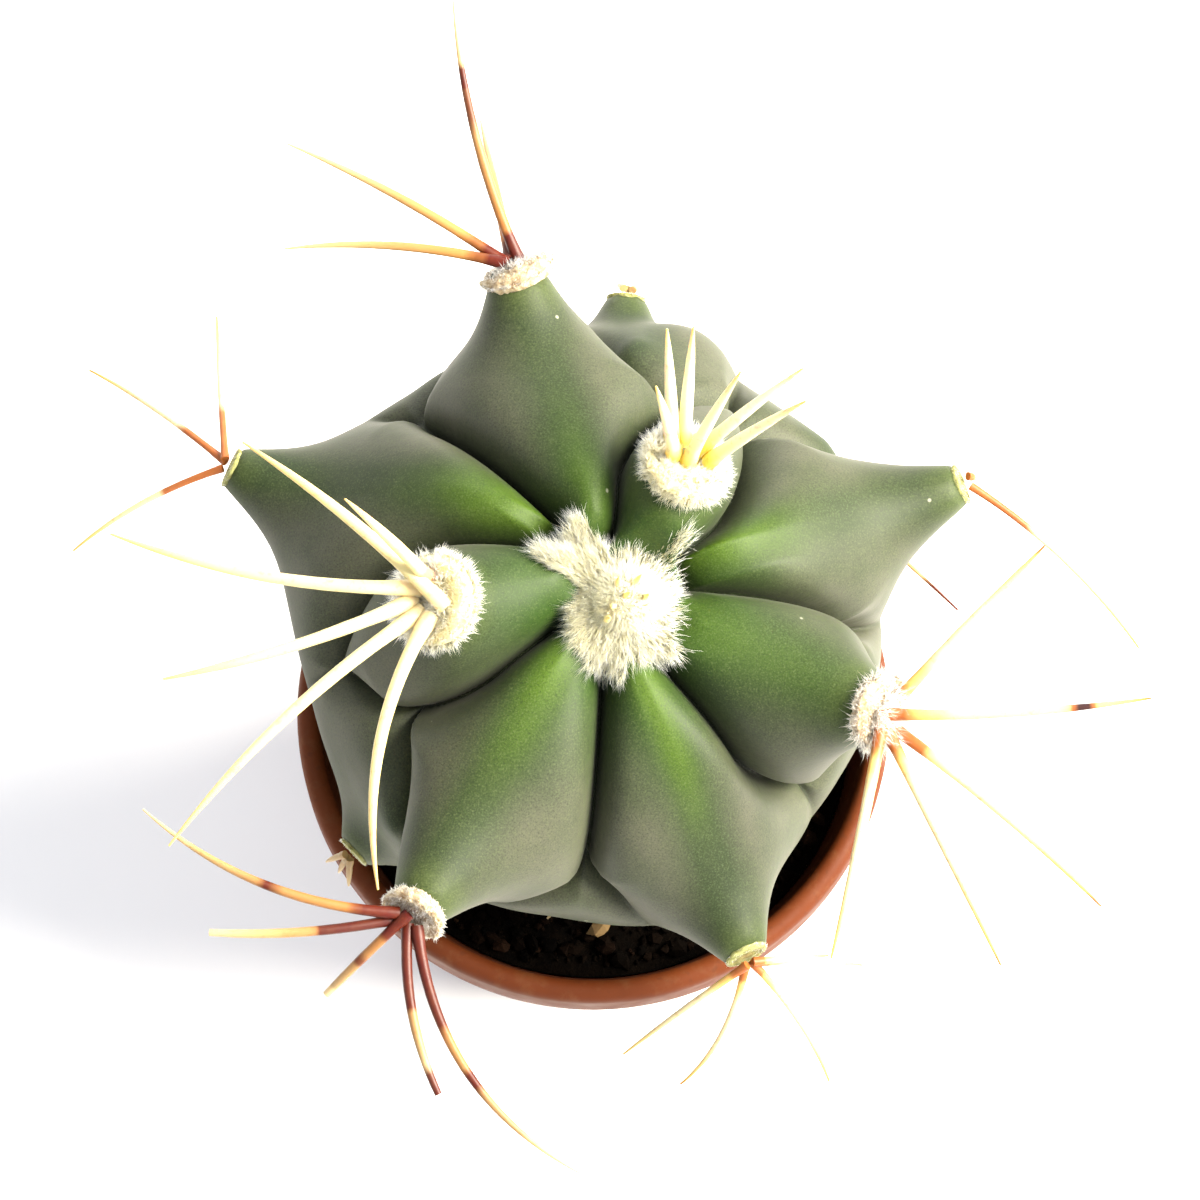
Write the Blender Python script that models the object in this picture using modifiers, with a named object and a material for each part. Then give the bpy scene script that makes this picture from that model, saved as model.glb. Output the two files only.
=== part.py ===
"""A young barrel cactus in its round plant pot, standing on a flat surface.

The stem is one solid. Its skin is a round body raised by formula into long pointed tubercles, which
follow a golden-angle spiral and meet in sharp furrows. Each tubercle ends in an areole, which has a
pad of felt and a bunch of spines. A tap root holds the stem in the soil, and the soil fills the pot.

Metres, +Z up. The origin is the middle of the flat underside of the pot.
"""

import math
import random

import bmesh
import bpy
import numpy as np
from mathutils import Matrix, Vector, noise

MM = 0.001
GAP = 0.3 * MM  # between pieces that touch

# Pot: a thin moulded cup with a rounded lip and drain holes
POT_HEIGHT = 50 * MM
RIM_RADIUS = 27.5 * MM
LIP_WIDTH = 2.2 * MM
LIP_DROP = 5 * MM
BASE_RADIUS = 18.5 * MM
POT_WALL = 1.1 * MM
POT_FLOOR = 1.6 * MM
POT_STEPS = 40
INNER_CORNER = 1.5 * MM
FOOT_BEVEL = 1 * MM
SKIRT_BEVEL = 0.5 * MM  # at the lip's lower edge
DRAIN_HOLES = 5
DRAIN_RADIUS = 2.2 * MM
DRAIN_CIRCLE = 13 * MM

# Soil
SOIL_TOP = 43 * MM
SOIL_RINGS = 7
SOIL_GRAIN = 0.55 * MM  # how far its top is lumpy
COARSE_GRAIN = 400  # lumps to a metre
FINE_GRAIN = 900
SOIL_CORNER = 1.8 * MM

# Stem: its body's middle, how its crown leans, and its girth between the tubercles
BODY_CENTRE = np.array((-0.5, 5.5, 58)) * MM
CROWN_LEAN = np.array((3.5, -2.5, 22.0))
BODY_RADIUS = 26.4 * MM
CROWN_SINK = 3.8 * MM
CROWN_SPREAD = math.radians(32)
UNDERSIDE_SINK = 11 * MM
UNDERSIDE_FROM = math.radians(82)
UNDERSIDE_TO = math.radians(150)
SWELLS = ((70, 14, 2.4, 10), (6, 12, -0.8, 12))  # azimuth, elevation, rise in millimetres and spread
RIM_CLEARANCE = 0.8 * MM  # between the skin and the pot's rim
OVERHANG = 4  # how fast the skin may swell over the rim
ROOT_STEPS = 24
STEM_FACES = 0.075  # share of the sphere's faces that the skin keeps

# Tubercles: a broad shoulder that rises into a cone with a flat tip
CONE_GIRTHS = (1, 1, 1, 0.72, 1, 0.95, 1, 1, 0.62, 1, 1, 1, 1, 1)  # against the common one
SHOULDER_SHARE = 0.3  # of the tubercle's height over the body
SHOULDER_SPREAD = math.radians(23)
CONE_SPREAD = math.radians(5.6)  # on a tubercle with an areole of the common width
COMMON_WIDTH = 6 * MM
CONE_POWER = 1.1
FLAT_SHARES = (0.4, 0.4, 0.47)  # the flat tip's radius by age, as a share of the areole's width
BLEND_POWER = 4  # how sharply neighbouring tubercles merge

# Furrows: they run half way between the ridges that lead from the crown to the areoles
FURROW_DEPTH = 4.4 * MM
FURROW_WIDTH = math.radians(5)
FURROW_ROUNDING = math.radians(1.2)
FURROW_FROM = math.radians(5)
FURROW_FULL = math.radians(14)
FURROW_FADES = math.radians(62)
FURROW_ENDS = math.radians(88)
OLD_RIDGE = math.radians(22)  # length of the ridge on the old tubercles
# Where the ridge of each young tubercle starts: degrees from the crown's axis, and turned about it
RIDGE_STARTS = ((10, 8), (13, -23), (11, 11), (20, 6), (13, -25), (17, 17), (24, -26), (13, -15))

# Crown: a shallow dish that the young wool lies in
DISH_RADIUS = 4.9 * MM
DISH_FLOOR = 20.6 * MM
DISH_DEPTH = 1.1 * MM
DISH_EDGE = (0.85, 1.4)  # where the dish turns into the ridges, as shares of its radius
WOOL_RADIUS = 4.1 * MM
WOOL_UNDER = 1.2 * MM
WOOL_OVER = 2.9 * MM
WOOL_LUMPS = 0.06

# Areoles from the youngest to the oldest: how far each drifts from the golden-angle spiral in
# degrees, then its distance from the stem's middle line, height over the base and width, in millimetres
MIDDLE_LINE = (-0.5 * MM, 4.8 * MM)
FIRST_AZIMUTH = 55.5
GOLDEN_ANGLE = 137.5
AREOLES = (
    (-8, 13, 84, 8),
    (-1, 14, 84, 8),
    (5, 28.5, 79, 6.4),
    (-6, 30.5, 77, 6),
    (-3, 33, 76, 5.8),
    (-4, 36, 69, 4),
    (-3.5, 35.5, 67, 4),
    (-3, 34, 63.4, 4.3),
    (8, 32.5, 60, 3.9),
    (10, 29.5, 57, 3.9),
    (-3, 27.5, 53.5, 3.6),
    (0, 25, 54.5, 3.6),
    (0, 22, 47.5, 3.6),
    (0, 26, 53, 3.6),
)

GROWN_FROM = 2  # the first grown areole, and the first old one
OLD_FROM = 5

# How far each tubercle's ground reaches past half way to its neighbours
LEADS = np.radians((9, 5, 2, 6.5, 0, 0, 0, -3, -4, -4, -8, -8, -8, -8))

# Spines of each areole: azimuth and elevation in degrees, length and sideways bow in millimetres, and
# how far uphill and aside of the areole's middle each starts
SPINES = (
    (
        (102, 44, 13, 0, -1.7, -2.1), (88, 44, 13, 0, -2.1, -1.1), (46, 63, 13.5, 0, 0, 0),
        (31, 36, 14, 0, -1.9, 0.9), (12, 48, 15, 0, -1, 2), (134, 71, 13, 0, 0.2, -1.5),
    ),
    (
        (141, 11, 21, -0.5, 1.1, -0.1), (143, 61, 17, 0, 0, 2), (169, 4, 28, 1.5, -1.2, 1.1),
        (199, 7, 24, 0.8, -2, -0.2), (225, 2, 31, -1, -1.3, -1.4), (261, 2, 26, -2, -0.2, -2.2),
    ),
    (
        (45, 15, 20, 0, -0.4, -1.8), (1, 10, 23, -0.7, 0.4, 0.2), (318, -5, 25, 0.4, -1.6, 0.8),
        (294, -5, 24, 0, -1, 1.5), (257, -3, 22, 0.2, 0.1, 1.9),
    ),
    (
        (104, 14, 24, 1, -1, 0.3), (102, -28, 19, 0, -1.6, -0.2), (153, 5, 23, -0.4, -0.8, -1.3),
        (175, -5, 21, -0.7, -0.1, -1.7),
    ),
    (
        (159, 7, 25, 2.1, -0.5, 1.7), (185, 3, 17.5, 0.6, -1.3, 1.2), (219, -23, 10.5, 0, -0.3, 0.5),
        (279, -7, 15.5, -0.9, -1.5, -0.5), (304, -9, 26.5, -3.2, -1, -1.4),
    ),
    ((319, -18, 22, 0.9, -0.2, 0.85), (20, -50, 3, 0, -0.7, -0.3)),
    ((140, -24, 19, -0.3, -0.5, 0.4), (96, -28, 19, 0, 0, 0.8), (202.5, -27, 17.5, -0.6, -0.3, -0.7)),
    (
        (7, -43, 14.5, 0, -0.3, -0.8), (308, -37, 15, 0.6, -0.7, -0.4), (238, -41, 15, 1.1, -0.6, 0.6),
        (211, -40, 17, 0, -0.1, 0.8), (8, -25, 8, 0, 0, -0.7),
    ),
    ((88, -75, 5, 0, -0.5, 0), (60, -60, 4, 0, -0.2, 0.5), (118, -60, 4, 0, -0.2, -0.5)),
    ((223, -60, 3, 0, -0.4, 0), (265, -50, 3.5, 0, -0.2, -0.5), (180, -50, 3.5, 0, -0.2, 0.5)),
    ((347, -15, 3, 0, -0.5, 0), (30, -35, 3.5, 0, -0.2, -0.5), (300, -15, 4.5, 0, -0.2, 0.5)),
    ((128, 0, 2.2, 0, -0.5, 0), (70, 0, 4.5, 0, -0.2, 0.5), (190, 0, 4.5, 0, -0.2, -0.5)),
    ((265, -45, 2.5, 0, -0.5, 0), (225, -15, 3, 0, -0.2, 0.5), (305, -15, 3, 0, -0.2, -0.5)),
    ((316.5, 4, 20.8, 0, -0.3, 0.4), (44, 0, 2.2, 0, -0.5, 0), (100, 0, 4.5, 0, -0.2, -0.5)),
)
SPINE_GIRTH = 0.1  # radius at the root as a share of the areole's width
SPINE_TIP_RADIUS = 0.12 * MM
SPINE_ARCH = 0.03  # how much the middle of a spine rises, as a share of its length
SPINE_POINTS = 6
SPINE_SEAT = 0.8  # height of a spine's middle over the felt, as a share of its radius
SPINE_SHAFT = 0.64  # radius above the swollen root, as a share of it
SPINE_SWELL = 0.07  # length of the swollen root, as a share of the spine's
SPINE_TAPER = 1.8  # over 1 the shaft keeps its girth longer

# Root plate of each bunch of spines, an oval in the outer half of the areole, and the felt round it.
# Shares are of the areole's width.
PLATES = ((0.08, 0.26, 0.33), (0.1, 0.22, 0.34), (0.1, 0.16, 0.24))  # shift, depth and width by age
FELT_HEIGHTS = (0.42, 0.42, 0.22)  # by age, as a share of how broad the felt is
FELT_MIN = 0.8 * MM
RING_TUBE = 0.25  # tube radius of the plain ring that the felt is shaped from
FELT_LIFT = 0.16  # from the tubercle's tip to the middle of the felt

# Neck and tap root: radius by height, about their own middle line
ROOT_MIDDLE = (-0.3 * MM, 2.6 * MM)
ROOT = (
    (3.5 * MM, 20 * MM),
    (7 * MM, 32 * MM),
    (11.5 * MM, 40 * MM),
    (13.5 * MM, 46 * MM),
    (12 * MM, 50 * MM),
)

COLOURS = {
    "pot": ((0.42, 0.13, 0.06), 0.5),
    "soil": ((0.02, 0.014, 0.01), 0.95),
    "skin": ((0.17, 0.24, 0.14), 0.6),
    "wool": ((0.8, 0.77, 0.62), 0.95),
    "pale_spine": ((0.75, 0.66, 0.36), 0.45),
    "amber_spine": ((0.62, 0.33, 0.09), 0.45),
    "red_spine": ((0.34, 0.1, 0.05), 0.45),
}
PALE_AREOLES = (0, 1)
AMBER_AREOLES = (2, 5, 6, 7)


def clear_scene():
    for obj in list(bpy.data.objects):
        bpy.data.objects.remove(obj, do_unlink=True)


def new_collection(name):
    made = bpy.data.collections.new(name)
    bpy.context.scene.collection.children.link(made)
    return made


def material(slot):
    """The slot's own material, made once."""
    found = bpy.data.materials.get(slot)
    if found:
        return found
    made = bpy.data.materials.new(slot)
    made.use_nodes = True
    shader = made.node_tree.nodes["Principled BSDF"]
    colour, roughness = COLOURS[slot]
    shader.inputs["Base Color"].default_value = (*colour, 1)
    shader.inputs["Roughness"].default_value = roughness
    shader.inputs["Metallic"].default_value = 0
    return made


def keep(obj, name, slot, collection):
    """Names an object, gives it its material and moves it to its collection."""
    obj.name = name
    obj.data.name = name
    obj.data.materials.clear()
    obj.data.materials.append(material(slot))
    for holder in list(obj.users_collection):
        holder.objects.unlink(obj)
    collection.objects.link(obj)
    return obj


def smooth_step(low, high, value):
    share = np.clip((value - low) / (high - low), 0, 1)
    return share * share * (3 - 2 * share)


def points_of(obj):
    coords = np.empty(len(obj.data.vertices) * 3)
    obj.data.vertices.foreach_get("co", coords)
    return coords.reshape(-1, 3)


def move_points(obj, coords):
    obj.data.vertices.foreach_set("co", np.ascontiguousarray(coords, np.float32).ravel())
    obj.data.update()


def add_union(obj, collection):
    """Joins a collection's meshes to an object and removes them."""
    union = obj.modifiers.new("joined", "BOOLEAN")
    union.operation = "UNION"
    union.operand_type = "COLLECTION"
    union.collection = collection
    union.solver = "EXACT"
    graph = bpy.context.evaluated_depsgraph_get()
    joined = bpy.data.meshes.new_from_object(obj.evaluated_get(graph))
    obj.modifiers.clear()
    obj.data = joined
    for other in list(collection.objects):
        bpy.data.objects.remove(other, do_unlink=True)
    bpy.data.collections.remove(collection)


def turned(name, profile, steps):
    """A solid turned about Z from a profile of (radius, height), which runs down its outer side."""
    mesh = bpy.data.meshes.new(name)
    verts = [(radius, 0, height) for radius, height in profile]
    mesh.from_pydata(verts, [(i, i + 1) for i in range(len(verts) - 1)], [])
    obj = bpy.data.objects.new(name, mesh)
    bpy.context.scene.collection.objects.link(obj)
    screw = obj.modifiers.new("turn", "SCREW")
    screw.steps = steps
    screw.render_steps = steps
    screw.use_merge_vertices = True
    screw.merge_threshold = 0.00001
    screw.use_smooth_shade = True
    return obj


def arc(centre, radius, start, end, points):
    """Points on an arc of a profile, from one angle to another in degrees."""
    angles = np.radians(np.linspace(start, end, points))
    return [(centre[0] + radius * math.cos(a), centre[1] + radius * math.sin(a)) for a in angles]


def pot_inside(height):
    """Radius of the pot's inner wall at a height."""
    low = BASE_RADIUS - POT_WALL
    high = RIM_RADIUS - LIP_WIDTH
    return low + (high - low) * height / POT_HEIGHT


def make_pot(collection):
    edge = LIP_WIDTH / 2
    lip_middle = (RIM_RADIUS - edge, POT_HEIGHT - edge)
    lip_foot = POT_HEIGHT - LIP_DROP
    under_lip = pot_inside(lip_foot) + POT_WALL
    profile = [
        (0, POT_FLOOR),
        (pot_inside(POT_FLOOR) - INNER_CORNER, POT_FLOOR),
        (pot_inside(POT_FLOOR + INNER_CORNER), POT_FLOOR + INNER_CORNER),
        (pot_inside(lip_foot), lip_foot),
        *arc(lip_middle, edge, 180, 0, 7),
        (RIM_RADIUS, lip_foot + SKIRT_BEVEL),
        (RIM_RADIUS - SKIRT_BEVEL, lip_foot),
        (under_lip, lip_foot),
        (pot_inside(FOOT_BEVEL) + POT_WALL, FOOT_BEVEL),
        (BASE_RADIUS - FOOT_BEVEL, 0),
        (0, 0),
    ]
    pot = turned("pot", profile, POT_STEPS)
    cutters = new_collection("pot_cutters")
    for index in range(DRAIN_HOLES):
        angle = 2 * math.pi * index / DRAIN_HOLES
        where = (DRAIN_CIRCLE * math.cos(angle), DRAIN_CIRCLE * math.sin(angle), POT_FLOOR / 2)
        bpy.ops.mesh.primitive_cylinder_add(
            vertices=16, radius=DRAIN_RADIUS, depth=4 * POT_FLOOR, location=where
        )
        hole = keep(bpy.context.object, f"drain_cutter_{index + 1}", "pot", cutters)
        hole.hide_render = True
        hole.display_type = "WIRE"
        cut = pot.modifiers.new("drain", "BOOLEAN")
        cut.operation = "DIFFERENCE"
        cut.object = hole
        cut.solver = "EXACT"
    return keep(pot, "pot", "pot", collection)


def make_soil(collection):
    """Fills the pot, with a lumpy top and a plain hole for the root."""
    low = POT_FLOOR + GAP
    edge = pot_inside(SOIL_TOP) - GAP
    buried = [(radius + GAP, height) for radius, height in ROOT if height < SOIL_TOP]
    below, above = ROOT[len(buried) - 1], ROOT[len(buried)]
    hole = float(np.interp(SOIL_TOP, (below[1], above[1]), (below[0], above[0]))) + GAP
    profile = [(0, ROOT[0][1] - GAP), (buried[0][0], ROOT[0][1] - GAP), *buried[1:]]
    profile += [(hole + (edge - hole) * k / SOIL_RINGS, SOIL_TOP) for k in range(SOIL_RINGS + 1)]
    profile.append((pot_inside(low + SOIL_CORNER) - GAP, low + SOIL_CORNER))
    profile += [(pot_inside(low) - SOIL_CORNER - GAP, low), (0, low)]
    soil = turned("soil", profile, POT_STEPS)
    graph = bpy.context.evaluated_depsgraph_get()
    soil.data = bpy.data.meshes.new_from_object(soil.evaluated_get(graph))
    soil.modifiers.clear()
    coords = points_of(soil)
    for point in coords:
        reach = math.hypot(point[0], point[1])
        if point[2] > SOIL_TOP - GAP and hole + GAP < reach < edge - GAP:
            point[2] += SOIL_GRAIN * noise.noise(Vector(point) * COARSE_GRAIN)
            point[2] += SOIL_GRAIN * noise.noise(Vector(point) * FINE_GRAIN)
        if point[2] > ROOT[0][1] - 2 * GAP:
            point[:2] += np.array(ROOT_MIDDLE) * np.clip((edge - reach) / (edge - hole), 0, 1)
    move_points(soil, coords)
    return keep(soil, "soil", "soil", collection)


def age(index):
    """0 for the young areoles by the crown, 1 for the grown ones and 2 for the old ones."""
    return 0 if index < GROWN_FROM else 1 if index < OLD_FROM else 2


def areole_points():
    """The flat tip of each tubercle, under its felt."""
    found = []
    for index, (drift, reach, height, width) in enumerate(AREOLES):
        azimuth = math.radians(FIRST_AZIMUTH + GOLDEN_ANGLE * index + drift)
        away = reach * MM * np.array((math.cos(azimuth), math.sin(azimuth)))
        felt = np.array((*(MIDDLE_LINE + away), height * MM))
        out = felt - BODY_CENTRE
        found.append(felt - out / np.linalg.norm(out) * FELT_LIFT * width * MM)
    return np.array(found)


def areole_widths():
    return [width * MM for *_, width in AREOLES]


def crown_frame():
    """Rows are the two directions across the crown's axis and the axis itself."""
    axis = CROWN_LEAN / np.linalg.norm(CROWN_LEAN)
    across = np.cross((0, 1, 0), axis)
    across /= np.linalg.norm(across)
    return np.array((across, np.cross(axis, across), axis))


def angle_to(directions, other):
    return np.arccos(np.clip(directions @ other, -1, 1))


def ridge_distance(directions, start, tip):
    """Angle from each direction to the arc that joins two directions."""
    normal = np.cross(start, tip)
    normal /= np.linalg.norm(normal)
    aside = directions @ normal
    foot = directions - aside[:, None] * normal
    beside = (np.cross(start, foot) @ normal > 0) & (np.cross(foot, tip) @ normal > 0)
    ends = np.minimum(angle_to(directions, start), angle_to(directions, tip))
    return np.where(beside, np.abs(np.arcsin(np.clip(aside, -1, 1))), ends)


def ridge_start(axis, tip, index):
    """Where a tubercle's ridge begins: near the crown, a little aside of the arc to its tip."""
    polar = math.acos(tip @ axis)
    begin, turn = polar - OLD_RIDGE, 0
    if index < len(RIDGE_STARTS):
        begin, turn = np.radians(RIDGE_STARTS[index])
    across = tip - axis * math.cos(polar)
    across = across / np.linalg.norm(across)
    across = across * math.cos(turn) + np.cross(axis, across) * math.sin(turn)
    return axis * math.cos(begin) + across * math.sin(begin)


def body_radius(polar):
    """The body with no tubercles, by angle from the crown's axis."""
    crown = CROWN_SINK * np.exp(-((polar / CROWN_SPREAD) ** 2))
    return BODY_RADIUS - crown - UNDERSIDE_SINK * smooth_step(UNDERSIDE_FROM, UNDERSIDE_TO, polar)


def swelling(directions):
    """Broad bulges and hollows of the body."""
    total = 0
    for azimuth, elevation, rise, spread in SWELLS:
        away = angle_to(directions, np.array(spine_direction(azimuth, elevation)))
        total = total + rise * MM * np.exp(-((away / math.radians(spread)) ** 2))
    return total


def furrow_depth(polar):
    deepening = smooth_step(FURROW_FROM, FURROW_FULL, polar)
    return FURROW_DEPTH * deepening * (1 - smooth_step(FURROW_FADES, FURROW_ENDS, polar))


def stem_radius(directions):
    """Distance from the body's centre to the skin along each unit direction."""
    axis = crown_frame()[2]
    polar = angle_to(directions, axis)
    body = body_radius(polar) + swelling(directions)
    distances = []
    rises = []
    tips = areole_points() - BODY_CENTRE
    for index, (tip, width) in enumerate(zip(tips, areole_widths())):
        reach = np.linalg.norm(tip)
        towards = tip / reach
        ridge = ridge_distance(directions, ridge_start(axis, towards, index), towards)
        distances.append(ridge - LEADS[index])
        away = angle_to(directions, towards)
        above = np.maximum(reach - body, 0)
        shoulder = SHOULDER_SHARE * above * np.exp(-((away / SHOULDER_SPREAD) ** 2))
        spread = CONE_SPREAD * CONE_GIRTHS[index] * math.sqrt(width / COMMON_WIDTH)
        slope = np.maximum(away - FLAT_SHARES[age(index)] * width / reach, 0) / spread
        rises.append(shoulder + (above - shoulder) * np.exp(-(slope**CONE_POWER)))
    nearest, second = np.sort(np.array(distances), axis=0)[:2]
    rise = np.sum(np.array(rises) ** BLEND_POWER, axis=0) ** (1 / BLEND_POWER)
    aside = np.hypot(second - nearest, FURROW_ROUNDING) - FURROW_ROUNDING
    skin = body + rise - furrow_depth(polar) * np.exp(-aside / FURROW_WIDTH)
    across = body * np.sin(polar)
    dish = DISH_FLOOR + DISH_DEPTH * (across / WOOL_RADIUS) ** 2
    near = 1 - smooth_step(DISH_RADIUS * DISH_EDGE[0], DISH_RADIUS * DISH_EDGE[1], across)
    near = np.where(polar < math.pi / 2, near, 0)
    return skin * (1 - near) + dish * near


def clear_of_pot(points):
    """Draws in what would come too near the rim."""
    room = pot_inside(POT_HEIGHT) - RIM_CLEARANCE
    allowed = room + np.maximum(points[:, 2] - POT_HEIGHT - RIM_CLEARANCE, 0) * OVERHANG
    reach = np.hypot(points[:, 0], points[:, 1])
    share = np.minimum(1, allowed / np.maximum(reach, MM))
    drawn = points.copy()
    drawn[:, :2] *= share[:, None]
    return drawn


def make_stem(collection):
    bpy.ops.mesh.primitive_ico_sphere_add(subdivisions=7, radius=1)
    stem = bpy.context.object
    directions = points_of(stem)
    directions /= np.linalg.norm(directions, axis=1)[:, None]
    skin = BODY_CENTRE + directions * stem_radius(directions)[:, None]
    move_points(stem, clear_of_pot(skin))
    thin = stem.modifiers.new("fewer_faces", "DECIMATE")
    thin.ratio = STEM_FACES
    roots = new_collection("root_union")
    profile = [(0, ROOT[-1][1]), *ROOT[::-1], (0, ROOT[0][1])]
    root = turned("tap_root", profile, ROOT_STEPS)
    root.location = (*ROOT_MIDDLE, 0)
    keep(root, "tap_root", "skin", roots)
    add_union(stem, roots)
    stem.data.shade_smooth()
    return keep(stem, "stem", "skin", collection)


def areole_frame(tip):
    """A matrix whose Z points out of the areole and whose X points towards the crown."""
    out = Vector(tip - BODY_CENTRE).normalized()
    uphill = Vector(CROWN_LEAN) - out * Vector(CROWN_LEAN).dot(out)
    uphill.normalize()
    side = out.cross(uphill)
    turn = Matrix((uphill, side, out)).transposed().to_4x4()
    return Matrix.Translation(Vector(tip)) @ turn


def plate_radius(plate, width, around):
    """Radius of the oval root plate at an angle from the side of the crown."""
    deep = plate[1] * width
    wide = plate[2] * width
    return deep * wide / math.hypot(wide * math.cos(around), deep * math.sin(around))


def felt_span(index, width, around):
    """Inner and outer radius of the felt about the plate's middle."""
    plate = PLATES[age(index)]
    inner = plate_radius(plate, width, around) + GAP
    shift = plate[0] * width
    outer = math.sqrt((width / 2) ** 2 - (shift * math.sin(around)) ** 2) + shift * math.cos(around)
    return inner, max(outer, inner + FELT_MIN)


def felt_top(index, width, around):
    inner, outer = felt_span(index, width, around)
    return GAP + FELT_HEIGHTS[age(index)] * (outer - inner)


def make_pad(index, tip, width, collection):
    """A ring of felt, broad on the side of the crown and narrow on the far side."""
    bpy.ops.mesh.primitive_torus_add(
        major_segments=12, minor_segments=6, major_radius=1, minor_radius=RING_TUBE
    )
    pad = bpy.context.object
    shift = PLATES[age(index)][0] * width
    coords = points_of(pad)
    for point in coords:
        around = math.atan2(point[1], point[0])
        inner, outer = felt_span(index, width, around)
        across = (math.hypot(point[0], point[1]) - 1) / RING_TUBE
        reach = (inner + outer) / 2 + across * (outer - inner) / 2
        height = GAP + (felt_top(index, width, around) - GAP) * (1 + point[2] / RING_TUBE) / 2
        point[:] = reach * math.cos(around) - shift, reach * math.sin(around), height
    move_points(pad, coords)
    pad.data.transform(areole_frame(tip))
    pad.data.shade_smooth()
    return keep(pad, f"areole_wool_{index + 1:02d}", "wool", collection)


def spine_mesh(name, root, target, radius, bow):
    """One tapered, gently curved spine as a closed mesh."""
    along = target - root
    side = Vector((-along.y, along.x, 0)).normalized()
    arch = side * bow * MM - side.cross(along) * SPINE_ARCH
    curve = bpy.data.curves.new(name, "CURVE")
    curve.dimensions = "3D"
    curve.bevel_depth = 1
    curve.bevel_resolution = 0
    curve.use_fill_caps = True
    spline = curve.splines.new("POLY")
    spline.points.add(SPINE_POINTS - 1)
    for k, point in enumerate(spline.points):
        share = k / (SPINE_POINTS - 1)
        place = root + along * share + arch * 4 * share * (1 - share)
        point.co = (*place, 1)
        point.radius = spine_girth(radius, SPINE_TIP_RADIUS, share)
    guide = bpy.data.objects.new(name, curve)
    bpy.context.scene.collection.objects.link(guide)
    graph = bpy.context.evaluated_depsgraph_get()
    mesh = bpy.data.meshes.new_from_object(guide.evaluated_get(graph))
    bpy.data.objects.remove(guide, do_unlink=True)
    return mesh


def spine_direction(azimuth, elevation):
    turn = math.radians(azimuth)
    rise = math.radians(elevation)
    return Vector((math.cos(rise) * math.cos(turn), math.cos(rise) * math.sin(turn), math.sin(rise)))


def spine_root(index, width, lean, uphill, aside):
    """Where a spine starts, high enough to lean over the felt, in the areole's own frame."""
    height = felt_top(index, width, math.atan2(lean.y, lean.x)) + GAP + SPINE_SEAT * SPINE_GIRTH * width
    return Vector((uphill * MM, aside * MM, height))


def spine_girth(radius, tip_radius, share):
    """A spine's radius, swollen at its root, at a share of its length."""
    swollen = SPINE_SHAFT + (1 - SPINE_SHAFT) * math.exp(-share / SPINE_SWELL)
    return tip_radius + (radius * swollen - tip_radius) * (1 - share**SPINE_TAPER)


def make_spines(index, tip, width, slot, collection):
    """The areole's spines, joined by the plate that they grow from."""
    frame = areole_frame(tip)
    felt = frame @ Vector((0, 0, FELT_LIFT * width))
    radius = SPINE_GIRTH * width
    loose = new_collection("spine_union")
    top = 0
    for number, (azimuth, elevation, length, bow, uphill, aside) in enumerate(SPINES[index]):
        name = f"spine_{number}"
        along = spine_direction(azimuth, elevation)
        lean = frame.to_3x3().transposed() @ along
        root = spine_root(index, width, lean, uphill, aside)
        top = max(top, root.z + radius)
        mesh = spine_mesh(name, frame @ root, felt + along * length * MM, radius, bow)
        weld_points(mesh)
        loose.objects.link(bpy.data.objects.new(name, mesh))
    bpy.ops.mesh.primitive_ico_sphere_add(subdivisions=2, radius=1)
    plate = bpy.context.object
    shift, deep, wide = (share * width for share in PLATES[age(index)])
    shape = Matrix.Translation((-shift, 0, (GAP + top) / 2))
    shape @= Matrix.Diagonal((deep, wide, (top - GAP) / 2, 1))
    plate.data.transform(frame @ shape)
    add_union(plate, loose)
    plate.data.shade_smooth()
    return keep(plate, f"spines_{index + 1:02d}", slot, collection)


def weld_points(mesh):
    work = bmesh.new()
    work.from_mesh(mesh)
    bmesh.ops.remove_doubles(work, verts=work.verts, dist=0.01 * MM)
    bmesh.ops.recalc_face_normals(work, faces=work.faces)
    work.to_mesh(mesh)
    work.free()


def make_crown_wool(collection):
    """A lumpy cushion of wool in the dish of the crown."""
    bpy.ops.mesh.primitive_ico_sphere_add(subdivisions=3, radius=1)
    wool = bpy.context.object
    coords = points_of(wool)
    draw = random.Random(5)
    for point in coords:
        lump = 1 + WOOL_LUMPS * (draw.random() - 0.5)
        point[:2] *= WOOL_RADIUS * lump
        point[2] *= WOOL_OVER if point[2] > 0 else WOOL_UNDER
    frame = crown_frame()
    foot = BODY_CENTRE + frame[2] * (DISH_FLOOR + GAP + WOOL_UNDER)
    move_points(wool, foot + coords @ frame)
    wool.data.shade_smooth()
    return keep(wool, "crown_wool", "wool", collection)


def spine_slot(index):
    if index in PALE_AREOLES:
        return "pale_spine"
    return "amber_spine" if index in AMBER_AREOLES else "red_spine"


def main():
    clear_scene()
    cactus = new_collection("potted_barrel_cactus")
    make_pot(cactus)
    make_soil(cactus)
    make_stem(cactus)
    make_crown_wool(cactus)
    for index, (tip, width) in enumerate(zip(areole_points(), areole_widths())):
        make_pad(index, tip, width, cactus)
        make_spines(index, tip, width, spine_slot(index), cactus)


main()
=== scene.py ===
"""Looks of a young barrel cactus in its round plant pot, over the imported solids.

The fine skin follows the same formula as the stem's solid, with crisper furrows. Wool and felt are
thousands of thin tapered hairs, and each spine is a round, banded taper.

Metres, +Z up. The origin is the middle of the flat underside of the pot.
"""

import math
import random

import bmesh
import bpy
import numpy as np
from mathutils import Matrix, Vector, noise


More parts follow.
